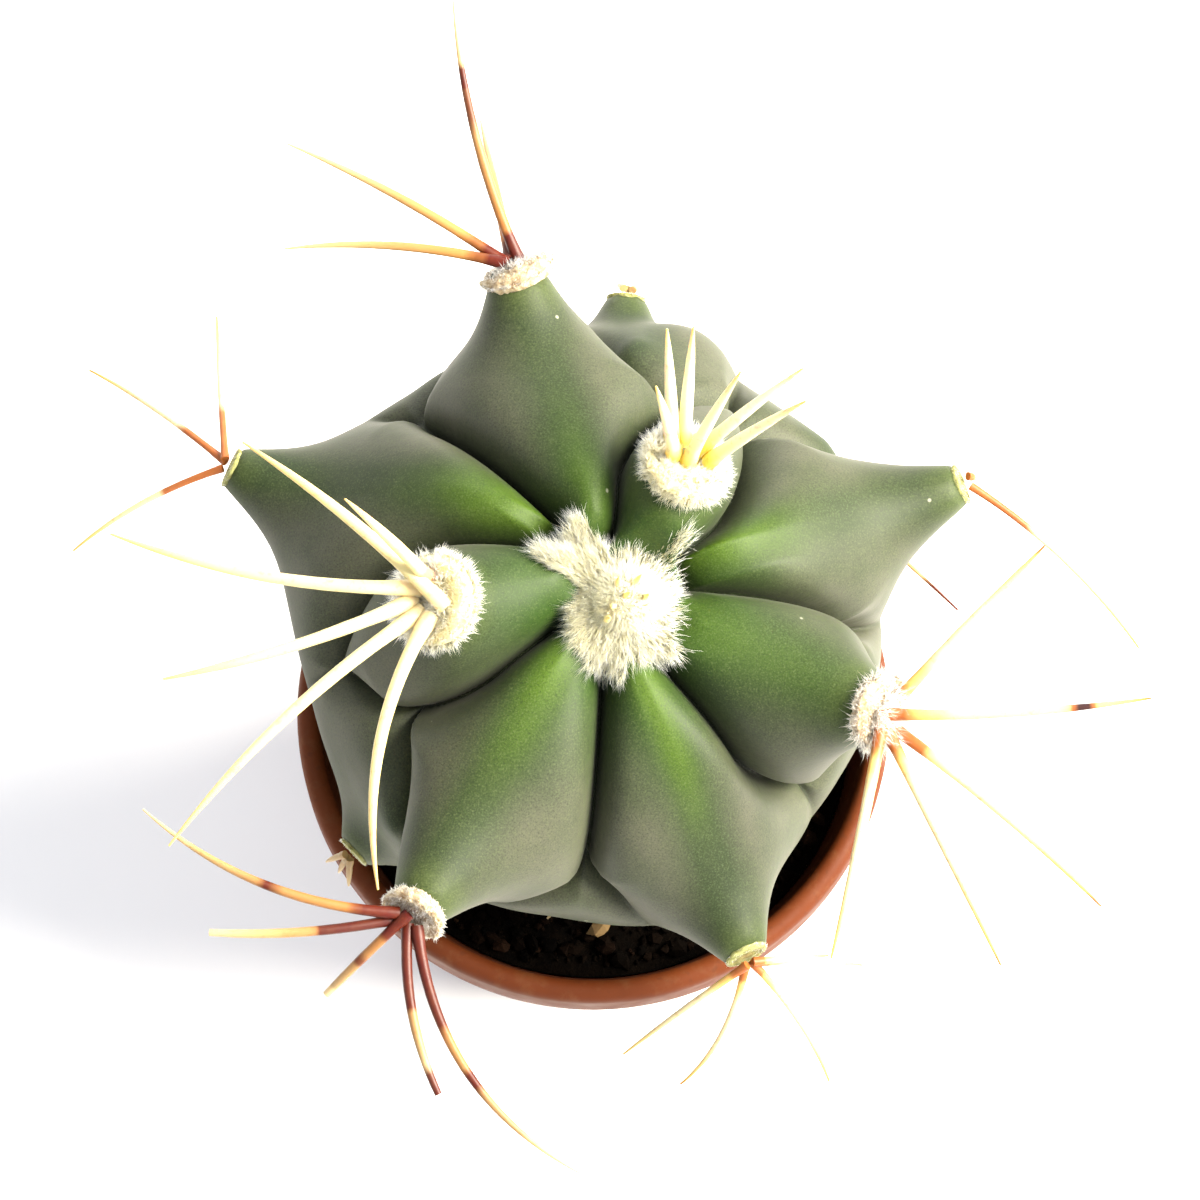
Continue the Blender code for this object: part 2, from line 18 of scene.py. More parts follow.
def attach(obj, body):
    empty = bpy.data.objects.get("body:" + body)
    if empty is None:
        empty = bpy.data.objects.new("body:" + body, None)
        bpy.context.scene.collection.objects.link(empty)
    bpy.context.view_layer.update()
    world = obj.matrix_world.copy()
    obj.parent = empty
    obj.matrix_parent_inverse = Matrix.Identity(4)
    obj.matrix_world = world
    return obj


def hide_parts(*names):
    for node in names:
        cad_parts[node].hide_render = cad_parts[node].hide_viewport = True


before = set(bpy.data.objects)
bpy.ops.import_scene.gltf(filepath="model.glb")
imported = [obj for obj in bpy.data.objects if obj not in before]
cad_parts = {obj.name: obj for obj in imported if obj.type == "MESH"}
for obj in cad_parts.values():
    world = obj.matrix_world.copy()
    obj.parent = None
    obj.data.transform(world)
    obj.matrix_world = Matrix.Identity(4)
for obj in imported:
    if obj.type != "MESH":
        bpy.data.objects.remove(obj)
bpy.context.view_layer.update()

MM = 0.001
GAP = 0.3 * MM  # between the solids that touch
ROOT_BODY = "root"

# Pot, as its solid
POT_HEIGHT = 50 * MM
RIM_RADIUS = 27.5 * MM
LIP_WIDTH = 2.2 * MM
LIP_DROP = 5 * MM
BASE_RADIUS = 18.5 * MM
POT_WALL = 1.1 * MM
POT_FLOOR = 1.6 * MM
INNER_CORNER = 1.5 * MM
FOOT_BEVEL = 1 * MM
SKIRT_BEVEL = 0.5 * MM
POT_STEPS = 160
DRAIN_HOLES = 5
DRAIN_RADIUS = 2.2 * MM
DRAIN_CIRCLE = 13 * MM

# Soil
SOIL_TOP = 43 * MM
SOIL_RINGS = 46
SOIL_SIDES = 150
SOIL_LUMPS = ((0.8, 260), (0.5, 620), (0.25, 1500))  # height, and how many to a metre
SOIL_RELIEF = 0.55 * MM
CRUMBS = 2600
CRUMB_SIZES = (0.25 * MM, 1.0 * MM)
DARK_CRUMBS = 0.985  # share of the crumbs; the others are pale brown
DARK_TONES = 0.97  # where the dark tones end
PALE_BROWN = 0.975
PALE_GRAIN = (0.6 * MM, -19.3 * MM)
PALE_GRAIN_SIZE = 1.15 * MM

# Stem, as its solid
BODY_CENTRE = np.array((-0.5, 5.5, 58)) * MM
CROWN_LEAN = np.array((3.5, -2.5, 22.0))
BODY_RADIUS = 26.4 * MM
CROWN_SINK = 3.8 * MM
CROWN_SPREAD = math.radians(32)
UNDERSIDE_SINK = 11 * MM
UNDERSIDE_FROM = math.radians(82)
UNDERSIDE_TO = math.radians(150)
SWELLS = ((70, 14, 2.4, 10), (6, 12, -0.8, 12))  # azimuth, elevation, rise in millimetres and spread
RIM_CLEARANCE = 0.8 * MM
OVERHANG = 4
CONE_GIRTHS = (1, 1, 1, 0.72, 1, 0.95, 1, 1, 0.62, 1, 1, 1, 1, 1)  # against the common one
SHOULDER_SHARE = 0.3
SHOULDER_SPREAD = math.radians(23)
CONE_SPREAD = math.radians(5.6)
COMMON_WIDTH = 6 * MM
CONE_POWER = 1.1
FLAT_SHARES = (0.4, 0.4, 0.47)  # the flat tip's radius by age, as a share of the areole's width
BLEND_POWER = 4
FURROW_DEPTH = 4.4 * MM
FURROW_WIDTH = math.radians(5)
FURROW_ROUNDING = math.radians(0.6)
FURROW_SLIT = 0.3  # how much deeper the line at a furrow's bottom is
SLIT_WIDTH = math.radians(1.6)
FURROW_FROM = math.radians(5)
FURROW_FULL = math.radians(14)
FURROW_FADES = math.radians(62)
FURROW_ENDS = math.radians(88)
OLD_RIDGE = math.radians(22)
STRIPES = (0.2, 0.2, 0.45, 0.55, 0.85, 1, 1, 1, 0.3, 0.3, 0, 0, 0, 0)  # how fresh each ridge's green is
STRIPE_WIDTHS = (4, 4, 6, 4, 4.6, 5.5, 7, 3.2, 4, 4, 4, 4, 4, 4)  # in degrees
STRIPE_LENGTHS = (40, 40, 52, 56, 56, 52, 64, 60, 50, 50, 50, 50, 50, 50)  # degrees from the crown's axis
STRIPE_FADE = math.radians(34)
# Where the ridge of each young tubercle starts: degrees from the crown's axis, and turned about it
RIDGE_STARTS = ((10, 8), (13, -23), (11, 11), (20, 6), (13, -25), (17, 17), (24, -26), (13, -15))
DISH_RADIUS = 4.9 * MM
DISH_FLOOR = 20.6 * MM
DISH_DEPTH = 1.1 * MM
DISH_EDGE = (0.85, 1.4)
WOOL_RADIUS = 4.1 * MM
WOOL_UNDER = 1.2 * MM
WOOL_OVER = 2.9 * MM
MIDDLE_LINE = (-0.5 * MM, 4.8 * MM)
FIRST_AZIMUTH = 55.5
GOLDEN_ANGLE = 137.5
# Each areole: drift off the golden angle in degrees, then reach, height and width in millimetres
AREOLES = (
    (-8, 13, 84, 8),
    (-1, 14, 84, 8),
    (5, 28.5, 79, 6.4),
    (-6, 30.5, 77, 6),
    (-3, 33, 76, 5.8),
    (-4, 36, 69, 4),
    (-3.5, 35.5, 67, 4),
    (-3, 34, 63.4, 4.3),
    (8, 32.5, 60, 3.9),
    (10, 29.5, 57, 3.9),
    (-3, 27.5, 53.5, 3.6),
    (0, 25, 54.5, 3.6),
    (0, 22, 47.5, 3.6),
    (0, 26, 53, 3.6),
)
GROWN_FROM = 2  # the first grown areole, and the first old one
OLD_FROM = 5
TILTS = {3: math.radians(11)}  # tips that aren't square to their tubercle, seen from outside
LEADS = np.radians((9, 5, 2, 6.5, 0, 0, 0, -3, -4, -4, -8, -8, -8, -8))
SKIN_CROWDING = 0.6  # under 1 the skin's points crowd towards the crown
FINE_FURROW = 0.7  # how far from a furrow's line its faces are split, in furrow widths
FINE_POLAR = 0.5

# Spines, as their solids, by areole: azimuth, elevation, length, sideways bow, and how far uphill
# and aside the root stands
SPINES = (
    (
        (102, 44, 13, 0, -1.7, -2.1), (88, 44, 13, 0, -2.1, -1.1), (46, 63, 13.5, 0, 0, 0),
        (31, 36, 14, 0, -1.9, 0.9), (12, 48, 15, 0, -1, 2), (134, 71, 13, 0, 0.2, -1.5),
    ),
    (
        (141, 11, 21, -0.5, 1.1, -0.1), (143, 61, 17, 0, 0, 2), (169, 4, 28, 1.5, -1.2, 1.1),
        (199, 7, 24, 0.8, -2, -0.2), (225, 2, 31, -1, -1.3, -1.4), (261, 2, 26, -2, -0.2, -2.2),
    ),
    (
        (45, 15, 20, 0, -0.4, -1.8), (1, 10, 23, -0.7, 0.4, 0.2), (318, -5, 25, 0.4, -1.6, 0.8),
        (294, -5, 24, 0, -1, 1.5), (257, -3, 22, 0.2, 0.1, 1.9),
    ),
    (
        (104, 14, 24, 1, -1, 0.3), (102, -28, 19, 0, -1.6, -0.2), (153, 5, 23, -0.4, -0.8, -1.3),
        (175, -5, 21, -0.7, -0.1, -1.7),
    ),
    (
        (159, 7, 25, 2.1, -0.5, 1.7), (185, 3, 17.5, 0.6, -1.3, 1.2), (219, -23, 10.5, 0, -0.3, 0.5),
        (279, -7, 15.5, -0.9, -1.5, -0.5), (304, -9, 26.5, -3.2, -1, -1.4),
    ),
    ((319, -18, 22, 0.9, -0.2, 0.85), (20, -50, 3, 0, -0.7, -0.3)),
    ((140, -24, 19, -0.3, -0.5, 0.4), (96, -28, 19, 0, 0, 0.8), (202.5, -27, 17.5, -0.6, -0.3, -0.7)),
    (
        (7, -43, 14.5, 0, -0.3, -0.8), (308, -37, 15, 0.6, -0.7, -0.4), (238, -41, 15, 1.1, -0.6, 0.6),
        (211, -40, 17, 0, -0.1, 0.8), (8, -25, 8, 0, 0, -0.7),
    ),
    ((88, -75, 5, 0, -0.5, 0), (60, -60, 4, 0, -0.2, 0.5), (118, -60, 4, 0, -0.2, -0.5)),
    ((223, -60, 3, 0, -0.4, 0), (265, -50, 3.5, 0, -0.2, -0.5), (180, -50, 3.5, 0, -0.2, 0.5)),
    ((347, -15, 3, 0, -0.5, 0), (30, -35, 3.5, 0, -0.2, -0.5), (300, -15, 4.5, 0, -0.2, 0.5)),
    ((128, 0, 2.2, 0, -0.5, 0), (70, 0, 4.5, 0, -0.2, 0.5), (190, 0, 4.5, 0, -0.2, -0.5)),
    ((265, -45, 2.5, 0, -0.5, 0), (225, -15, 3, 0, -0.2, 0.5), (305, -15, 3, 0, -0.2, -0.5)),
    ((316.5, 4, 20.8, 0, -0.3, 0.4), (44, 0, 2.2, 0, -0.5, 0), (100, 0, 4.5, 0, -0.2, -0.5)),
)
SPINE_GIRTH = 0.1
SPINE_TIP_RADIUS = 0.09 * MM
BLUNT_TIP_RADIUS = 0.32 * MM
BLUNT_SPINES = ((4, 1), (4, 2), (4, 3))  # areole and spine that ends in a broken tip
SPINE_ARCH = 0.03
SPINE_SIDES = 12
SPINE_OVAL = 0.88  # height of a spine against its breadth
SPINE_RINGS = 30
SPINE_CROWDING = 1.15  # over 1 the rings crowd towards the root
SPINE_SHAFT = 0.78  # radius above the swollen root, as a share of it
YOUNG_SHAFT = 0.74  # of the young areoles' spines
SPINE_SWELL = 0.07  # length of the swollen root, as a share of the spine's
SPINE_TAPER = 2.4  # over 1 the shaft keeps its girth longer
SPINE_SEAT = 0.8
SPINE_WOBBLE = 0.05  # how uneven the girth is
SPINE_SINK = 1.2  # how far a spine's root goes on into the felt, in radii
YOUNGEST = 0  # its spines have golden roots
# Dark bands, by areole and spine: where along the spine each starts and ends, and how dark it is
BANDS = {
    (1, 1): ((-1, 0.09, 1),),
    (2, 0): ((-1, 0.06, 1), (0.95, 1.1, 1)),
    (2, 1): ((-1, 0.1, 1), (0.7, 0.79, 2), (0.96, 1.1, 1)),
    (2, 2): ((-1, 0.15, 1), (0.95, 1.1, 1)),
    (2, 3): ((-1, 0.1, 1), (0.96, 1.1, 1)),
    (2, 4): ((-1, 0.1, 1),),
    (3, 0): ((-1, 0.09, 1.2), (-1, 0.5, 0.3), (0.5, 0.74, 0.9), (0.66, 0.74, 1.3)),
    (3, 1): ((-1, 0.07, 1), (-1, 0.3, 0.2)),
    (3, 2): ((-1, 0.09, 1), (-1, 0.16, 0.6)),
    (3, 3): ((-1, 0.06, 1), (-1, 0.13, 0.7)),
    (4, 0): ((-1, 0.14, 1), (-1, 0.8, 0.3), (0.43, 0.5, 1.1)),
    (4, 1): ((-1, 0.42, 1.3), (-1, 1.1, 0.15)),
    (4, 2): ((-1, 0.24, 1.1), (-1, 0.9, 0.45), (0.48, 0.6, 0.9)),
    (4, 3): ((-1, 0.47, 1.2), (-1, 0.8, 0.35), (0.84, 1.1, 1.1)),
    (4, 4): ((-1, 0.33, 1.2), (-1, 0.8, 0.35), (0.48, 0.58, 1.1)),
    (5, 0): ((-1, 0.3, 1),),
    (6, 0): ((-1, 0.3, 1),),
    (6, 1): ((-1, 0.3, 1),),
    (6, 2): ((-1, 0.35, 1),),
    (13, 0): ((0.8, 1.1, 1),),
}
OTHER_BANDS = {0: (), 1: (), 8: (), 9: ()}
COMMON_BANDS = ((-1, 0.08, 1),)
BAND_EDGE = 0.02  # how softly a band ends
SCORCHED = (0.035, 0.012, 0.012)
PALE_AREOLES = (0, 1)
AMBER_AREOLES = (2, 5, 6, 7)
TAN_AREOLES = (8, 9)  # old ones whose spines have bleached

# Areoles, as their solids
PLATES = ((0.08, 0.26, 0.33), (0.1, 0.22, 0.34), (0.1, 0.16, 0.24))  # shift, depth and width by age
FELT_HEIGHTS = (0.42, 0.42, 0.22)  # by age, as a share of how broad the felt is
FELT_MIN = 0.8 * MM
FELT_LIFT = 0.16
FELT_UNDER = 0.12  # how deep the felt's mat goes below the tip, as a share of the width
FELT_CREST = 0.8  # where the felt is highest, from the spines' plate to the edge
FELT_LUMPS = ((0.16, 0.5), (0.07, 0.25))  # size as a share of the width, and height
FELT_GRAINS = ((0.045, 1), (0.022, 0.6))
FELT_FILLS = (0.85, 0.8, 0.95, 0.95, 0.45, 0.3, 0.3, 0.3, 0.4, 0.4, 0.3, 0.3, 0.3, 0.3)  # of the middle
FELT_CRUMBS = (0.018, 0.06, 0.02)  # how crumbly by age, as a share of the width
FELT_LOWERED = (0.85, 0.7, 0.45)  # height by age against the solid's
FELT_REACHES = (0.92, 0.98, 0.95, 1.08, 0.88, 0.9, 0.9, 0.9, 0.9, 0.8, 1, 1, 1, 1)  # against the solid's
SIDE_HAIRS = 0.3  # share of the hairs that grow on the side of the felt
ROOT_HAIRS = (0.14, 0.35, 0.5, 0.3, 0.2)  # and between the roots of the spines
ROOT_HAIR_LENGTHS = (1.2, 2.2, 2.6, 1.1, 0.8)  # in millimetres
FELT_RINGS = 30
FELT_SIDES = 96
SUNLIT_AREOLE = 2  # its felt has weathered darker
FELT_HAIRS = (9500, 9000, 5500, 3500, 3500, 700, 700, 900, 900, 600, 300, 300, 300, 300)
FELT_HAIR_LENGTHS = ((0.5, 1.2), (0.5, 1.2), (0.4, 1.2), (0.15, 0.5), (0.15, 0.5))  # in millimetres
OLD_HAIR_LENGTHS = (0.1, 0.3)
FELT_HAIR_RADII = (0.026 * MM, 0.026 * MM, 0.024 * MM)  # by age

# Crown wool: a low dome with tufts about it
DOME_HAIRS = 7500
DOME_REACH = 0.58  # how much of the solid's radius the dome's hairs root on
DOME_CORE = 0.6  # radius of the dome's matted body against the solid's
DOME_RISE = 0.12  # and its height
DOME_LENGTHS = (0.5, 1.3)  # of its hairs, in millimetres
TUFT_LENGTHS = (0.8, 2.1)
WOOL_HAIR_RADIUS = 0.022 * MM
HAIR_TAPER = 0.55
HAIR_RINGS = (0, 0.5)  # how far along a hair its two rings of points are
WOOL_BRIDGE = np.radians((-18, -9, 9, 18))  # the mat lies over furrows between ridges this far aside
# Azimuth about the crown, spread near the dome and at the far end in degrees, first and last root
# distance in millimetres, and how many hairs
TUFTS = (
    (139, (18, 11), 2.0, 6.9, 5800),
    (126, (4, 2), 5.0, 7.0, 500),
    (153, (6, 3), 5.0, 7.7, 800),
    (48, (10, 3), 2.0, 6.1, 480),
    (84, (16, 12), 2.0, 4.0, 800),
    (20, (16, 12), 2.0, 3.8, 700),
    (180, (28, 14), 0.9, 3.8, 1880),
    (205, (14, 9), 1.8, 4.8, 1300),
    (228, (14, 10), 1.8, 5.5, 1700),
    (254, (14, 9), 2.0, 6.2, 2200),
    (284, (11, 9), 2.0, 4.9, 1000),
    (308, (11, 6), 2.0, 5.6, 1300),
    (336, (14, 9), 2.0, 4.2, 800),
    (0, (18, 14), 2.0, 3.7, 700),
)
BUD_RADIUS = 0.34 * MM
BUD_TIP_RADIUS = 0.05 * MM
BUD_LENGTH = 0.75 * MM
BUD_TONE = 0.5
BUDS = ((-0.9, 1.2), (0.6, 1.3), (-1.3, -0.8), (-0.2, 0.2), (1.6, 0.1), (-1.8, -1.9))  # young spine points

# Light
SKY_COLOUR = (0.93, 0.95, 1.0, 1)
SKY_STRENGTH = 0.8
# Each lamp: name, place, size, power and colour
LAMPS = (
    ("key", (0.62, 0.06, 0.6), 0.6, 43, (1.0, 0.94, 0.8)),
    ("fill", (0.35, -0.6, 0.45), 0.5, 1.5, (1.0, 0.97, 0.92)),
    ("back", (-0.1, 0.75, 0.35), 0.6, 4, (1.0, 0.99, 0.97)),
)
LIT_HEIGHT = 0.06  # what the lamps are aimed at

# Seeds of the random draws
CRUMB_SEED = 21
WOOL_SEED = 8
BUD_SEED = 12
HAIR_SEED = 3
FELT_SEED = 40
SPINE_SEED = 17
CLUMP_SEED = 5  # of the vector noise, which is drawn anew in each run without it

# Camera: leans 14 degrees back from straight down
CAMERA_TILT = math.radians(14)
CAMERA_PLACE = (0.6 * MM, -106.82 * MM, 519.78 * MM)
CAMERA_LENS = 156.06
SENSOR = 36


# Helpers


def new_object(name, mesh):
    obj = bpy.data.objects.new(name, mesh)
    bpy.context.scene.collection.objects.link(obj)
    return obj


def dress(obj, material, slot, *nodes):
    """Gives a piece its material, and lets it stand for its solids. slot is not used."""
    obj.data.materials.clear()
    obj.data.materials.append(material)
    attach(obj, ROOT_BODY)
    if nodes:
        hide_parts(*nodes)
    return obj


def smooth_step(low, high, value):
    share = np.clip((value - low) / (high - low), 0, 1)
    return share * share * (3 - 2 * share)


def points_of(obj):
    coords = np.empty(len(obj.data.vertices) * 3)
    obj.data.vertices.foreach_get("co", coords)
    return coords.reshape(-1, 3)


def move_points(obj, coords):
    obj.data.vertices.foreach_set("co", np.ascontiguousarray(coords, np.float32).ravel())
    obj.data.update()


def set_attributes(mesh, **fields):
    """Numbers at each point, for the materials."""
    for name, values in fields.items():
        made = mesh.attributes.new(name, "FLOAT", "POINT")
        made.data.foreach_set("value", np.ascontiguousarray(values, np.float32))


def unit(vectors):
    return vectors / np.linalg.norm(vectors, axis=-1, keepdims=True)


def applied(obj):
    """The object with its modifiers applied."""
    graph = bpy.context.evaluated_depsgraph_get()
    mesh = bpy.data.meshes.new_from_object(obj.evaluated_get(graph))
    obj.modifiers.clear()
    obj.data = mesh
    return obj


def turned(name, profile, steps):
    """A solid turned about Z from a profile of (radius, height), which runs down its outer side."""
    mesh = bpy.data.meshes.new(name)
    verts = [(radius, 0, height) for radius, height in profile]
    mesh.from_pydata(verts, [(i, i + 1) for i in range(len(verts) - 1)], [])
    obj = new_object(name, mesh)
    screw = obj.modifiers.new("turn", "SCREW")
    screw.steps = steps
    screw.render_steps = steps
    screw.use_merge_vertices = True
    screw.merge_threshold = 0.00001
    screw.use_smooth_shade = True
    return applied(obj)


def arc(centre, radius, start, end, points):
    angles = np.radians(np.linspace(start, end, points))
    return [(centre[0] + radius * math.cos(a), centre[1] + radius * math.sin(a)) for a in angles]


def ball(name, subdivisions):
    bpy.ops.mesh.primitive_ico_sphere_add(subdivisions=subdivisions, radius=1)
    made = bpy.context.object
    made.name = name
    made.data.name = name
    return made


def skinned(work, rings):
    """Joins rings of points by faces."""
    for inner, outer in zip(rings, rings[1:]):
        for side in range(len(inner)):
            after = (side + 1) % len(inner)
            work.faces.new((inner[side], outer[side], outer[after], inner[after]))


def smooth_mesh(work, name):
    """The mesh of what was built, with its normals outwards."""
    bmesh.ops.recalc_face_normals(work, faces=work.faces)
    mesh = bpy.data.meshes.new(name)
    work.to_mesh(mesh)
    work.free()
    mesh.shade_smooth()
    return mesh


def shell(name, layers, middles):
    """A closed mesh through rings of points, with a fan about a middle point at each end."""
    work = bmesh.new()
    rings = [[work.verts.new(point) for point in layer] for layer in layers]
    skinned(work, rings)
    for ring, point in zip((rings[0], rings[-1]), middles):
        middle = work.verts.new(point)
        for side in range(len(ring)):
            work.faces.new((middle, ring[side], ring[(side + 1) % len(ring)]))
    return smooth_mesh(work, name)


# Shader nodes


class Shader:
    """A material whose colour is laid on in coats."""

    def __init__(self, name, colour=None):
        self.material = bpy.data.materials.new(name)
        self.material.use_nodes = True
        self.tree = self.material.node_tree
        self.surface = self.tree.nodes["Principled BSDF"]
        self.place = self.node("ShaderNodeTexCoord").outputs["Object"]
        self.colour = colour

    def feed(self, node, values):
        """Links inputs to outputs of other nodes, or sets their numbers and colours."""
        for name, value in values.items():
            socket = node.inputs[name]
            if isinstance(value, bpy.types.NodeSocket):
                self.tree.links.new(value, socket)
            else:
                socket.default_value = (*value, 1) if socket.type == "RGBA" else value

    def node(self, kind, values=None, **settings):
        made = self.tree.nodes.new(kind)
        for key, value in settings.items():
            setattr(made, key, value)
        self.feed(made, values or {})
        return made

    def noise(self, scale, detail=3, roughness=0.5):
        values = {"Vector": self.place, "Scale": scale, "Detail": detail, "Roughness": roughness}
        return self.node("ShaderNodeTexNoise", values).outputs["Fac"]

    def cells(self, scale):
        values = {"Vector": self.place, "Scale": scale}
        return self.node("ShaderNodeTexVoronoi", values).outputs["Distance"]

    def attribute(self, name):
        return self.node("ShaderNodeAttribute", attribute_name=name).outputs["Fac"]

    def span(self, value, low, high, to_low=0.0, to_high=1.0):
        """Remaps a value and clamps it."""
        values = {"Value": value, "From Min": low, "From Max": high, "To Min": to_low, "To Max": to_high}
        return self.node("ShaderNodeMapRange", values).outputs["Result"]

    def spots(self, scale, detail, *levels):
        """Noise, remapped."""
        return self.span(self.noise(scale, detail), *levels)

    def math(self, operation, first, second):
        return self.node("ShaderNodeMath", {0: first, 1: second}, operation=operation).outputs["Value"]

    def times(self, first, second):
        return self.math("MULTIPLY", first, second)

    def coat(self, share, colour):
        """Lays a colour over the one so far, as far as share says."""
        made = self.node("ShaderNodeMix", {"Factor": share}, data_type="RGBA")
        under, over = [i for i, socket in enumerate(made.inputs) if socket.type == "RGBA"]
        self.feed(made, {under: self.colour, over: colour})
        self.colour = [socket for socket in made.outputs if socket.type == "RGBA"][0]

    def ramp(self, value, stops):
        made = self.node("ShaderNodeValToRGB", {"Fac": value})
        elements = made.color_ramp.elements
        while len(elements) < len(stops):
            elements.new(0.5)
        for element, (place, colour) in zip(elements, stops):
            element.position = place
            element.color = (*colour, 1)
        self.colour = made.outputs["Color"]

    def bump(self, height, strength, distance):
        """Roughens the surface. distance is in millimetres."""
        values = {"Height": height, "Strength": strength, "Distance": distance * MM}
        self.feed(self.surface, {"Normal": self.node("ShaderNodeBump", values).outputs["Normal"]})

    def finish(self, roughness, specular, glow=0.0, depths=(), more=None):
        """Sets the surface. glow is how much light goes in, and depths how far, in millimetres."""
        values = {"Base Color": self.colour, "Roughness": roughness, "Specular IOR Level": specular}
        if glow:
            radius = [depth * MM for depth in depths]
            values |= {"Subsurface Weight": glow, "Subsurface Radius": radius, "Subsurface Scale": 1.0}
        self.feed(self.surface, values | (more or {}))
        return self.material


# Shape of the stem


def age(index):
    """0 for the young areoles by the crown, 1 for the grown ones and 2 for the old ones."""
    return 0 if index < GROWN_FROM else 1 if index < OLD_FROM else 2


def areole_points():
    """The flat tip of each tubercle, under its felt."""
    found = []
    for index, (drift, reach, height, width) in enumerate(AREOLES):
        azimuth = math.radians(FIRST_AZIMUTH + GOLDEN_ANGLE * index + drift)
        away = reach * MM * np.array((math.cos(azimuth), math.sin(azimuth)))
        felt = np.array((*(MIDDLE_LINE + away), height * MM))
        out = felt - BODY_CENTRE
        found.append(felt - out / np.linalg.norm(out) * FELT_LIFT * width * MM)
    return np.array(found)


def areole_widths():
    return [width * MM for *_, width in AREOLES]


def crown_frame():
    """Rows are the two directions across the crown's axis and the axis itself."""
    axis = CROWN_LEAN / np.linalg.norm(CROWN_LEAN)
    across = np.cross((0, 1, 0), axis)
    across /= np.linalg.norm(across)
    return np.array((across, np.cross(axis, across), axis))


def angle_to(directions, other):
    return np.arccos(np.clip(directions @ other, -1, 1))


def ridge_distance(directions, start, tip):
    """Angle from each direction to the arc that joins two directions."""
    normal = np.cross(start, tip)
    normal /= np.linalg.norm(normal)
    aside = directions @ normal
    foot = directions - aside[:, None] * normal
    beside = (np.cross(start, foot) @ normal > 0) & (np.cross(foot, tip) @ normal > 0)
    ends = np.minimum(angle_to(directions, start), angle_to(directions, tip))
    return np.where(beside, np.abs(np.arcsin(np.clip(aside, -1, 1))), ends)


def ridge_start(axis, tip, index):
    """Where a tubercle's ridge begins: near the crown, a little aside of the arc to its tip."""
    polar = math.acos(tip @ axis)
    begin, turn = polar - OLD_RIDGE, 0
    if index < len(RIDGE_STARTS):
        begin, turn = np.radians(RIDGE_STARTS[index])
    across = tip - axis * math.cos(polar)
    across = across / np.linalg.norm(across)
    across = across * math.cos(turn) + np.cross(axis, across) * math.sin(turn)
    return axis * math.cos(begin) + across * math.sin(begin)


def body_radius(polar):
    crown = CROWN_SINK * np.exp(-((polar / CROWN_SPREAD) ** 2))
    return BODY_RADIUS - crown - UNDERSIDE_SINK * smooth_step(UNDERSIDE_FROM, UNDERSIDE_TO, polar)


def swelling(directions):
    """Broad bulges and hollows of the body."""
    total = 0
    for azimuth, elevation, rise, spread in SWELLS:
        away = angle_to(directions, np.array(spine_direction(azimuth, elevation)))
        total = total + rise * MM * np.exp(-((away / math.radians(spread)) ** 2))
    return total


def furrow_depth(polar):
    deepening = smooth_step(FURROW_FROM, FURROW_FULL, polar)
    return FURROW_DEPTH * deepening * (1 - smooth_step(FURROW_FADES, FURROW_ENDS, polar))


def tilt_of(index, tip, places):
    """How much higher or lower a tilted tip is at each place."""
    if index not in TILTS:
        return 0
    out = unit(tip[None])[0]
    side = unit(np.cross(out, CROWN_LEAN)[None])[0]
    return -(places @ side) * math.tan(TILTS[index])


def skin_fields(directions):
    """The skin's distance from the body's centre along each direction, and what its colours follow."""
    axis = crown_frame()[2]
    polar = angle_to(directions, axis)
    body = body_radius(polar) + swelling(directions)
    distances = []
    rises = []
    tips = areole_points() - BODY_CENTRE
    near_tip = np.full(len(directions), math.pi)
    for index, (tip, width) in enumerate(zip(tips, areole_widths())):
        reach = np.linalg.norm(tip)
        towards = tip / reach
        ridge = ridge_distance(directions, ridge_start(axis, towards, index), towards)
        distances.append(ridge - LEADS[index])
        away = angle_to(directions, towards)
        near_tip = np.minimum(near_tip, away * reach - width / 2)
        level = tilt_of(index, tip, directions * reach)
        above = np.maximum(reach - body, 0)
        shoulder = SHOULDER_SHARE * above * np.exp(-((away / SHOULDER_SPREAD) ** 2))
        spread = CONE_SPREAD * CONE_GIRTHS[index] * math.sqrt(width / COMMON_WIDTH)
        slope = np.maximum(away - FLAT_SHARES[age(index)] * width / reach, 0) / spread
        rises.append(shoulder + (above - shoulder + level) * np.exp(-(slope**CONE_POWER)))
    order = np.argsort(np.array(distances), axis=0)
    ranked = np.take_along_axis(np.array(distances), order, axis=0)
    nearest, second = ranked[:2]
    ridge = nearest + LEADS[order[0]]
    rise = np.sum(np.array(rises) ** BLEND_POWER, axis=0) ** (1 / BLEND_POWER)
    aside = np.hypot(second - nearest, FURROW_ROUNDING) - FURROW_ROUNDING
    slit = FURROW_SLIT * np.exp(-aside / SLIT_WIDTH)
    skin = body + rise - furrow_depth(polar) * (np.exp(-aside / FURROW_WIDTH) + slit)
    across = body * np.sin(polar)
    dish = DISH_FLOOR + DISH_DEPTH * (across / WOOL_RADIUS) ** 2
    near = 1 - smooth_step(DISH_RADIUS * DISH_EDGE[0], DISH_RADIUS * DISH_EDGE[1], across)
    near = np.where(polar < math.pi / 2, near, 0)
    skin = skin * (1 - near) + dish * near
    stripe = np.array(STRIPES)[order[0]] * np.exp(-((ridge / np.radians(STRIPE_WIDTHS)[order[0]]) ** 2))
    ends = np.radians(STRIPE_LENGTHS)[order[0]]
    stripe = stripe * (1 - smooth_step(-STRIPE_FADE, 0, polar - ends))
    fields = {
        "crease": (second - nearest) / FURROW_WIDTH,
        "ridge": ridge / FURROW_WIDTH,
        "stripe": stripe,
        "polar": polar / math.pi,
        "tip": near_tip / MM,
    }
    return skin, fields


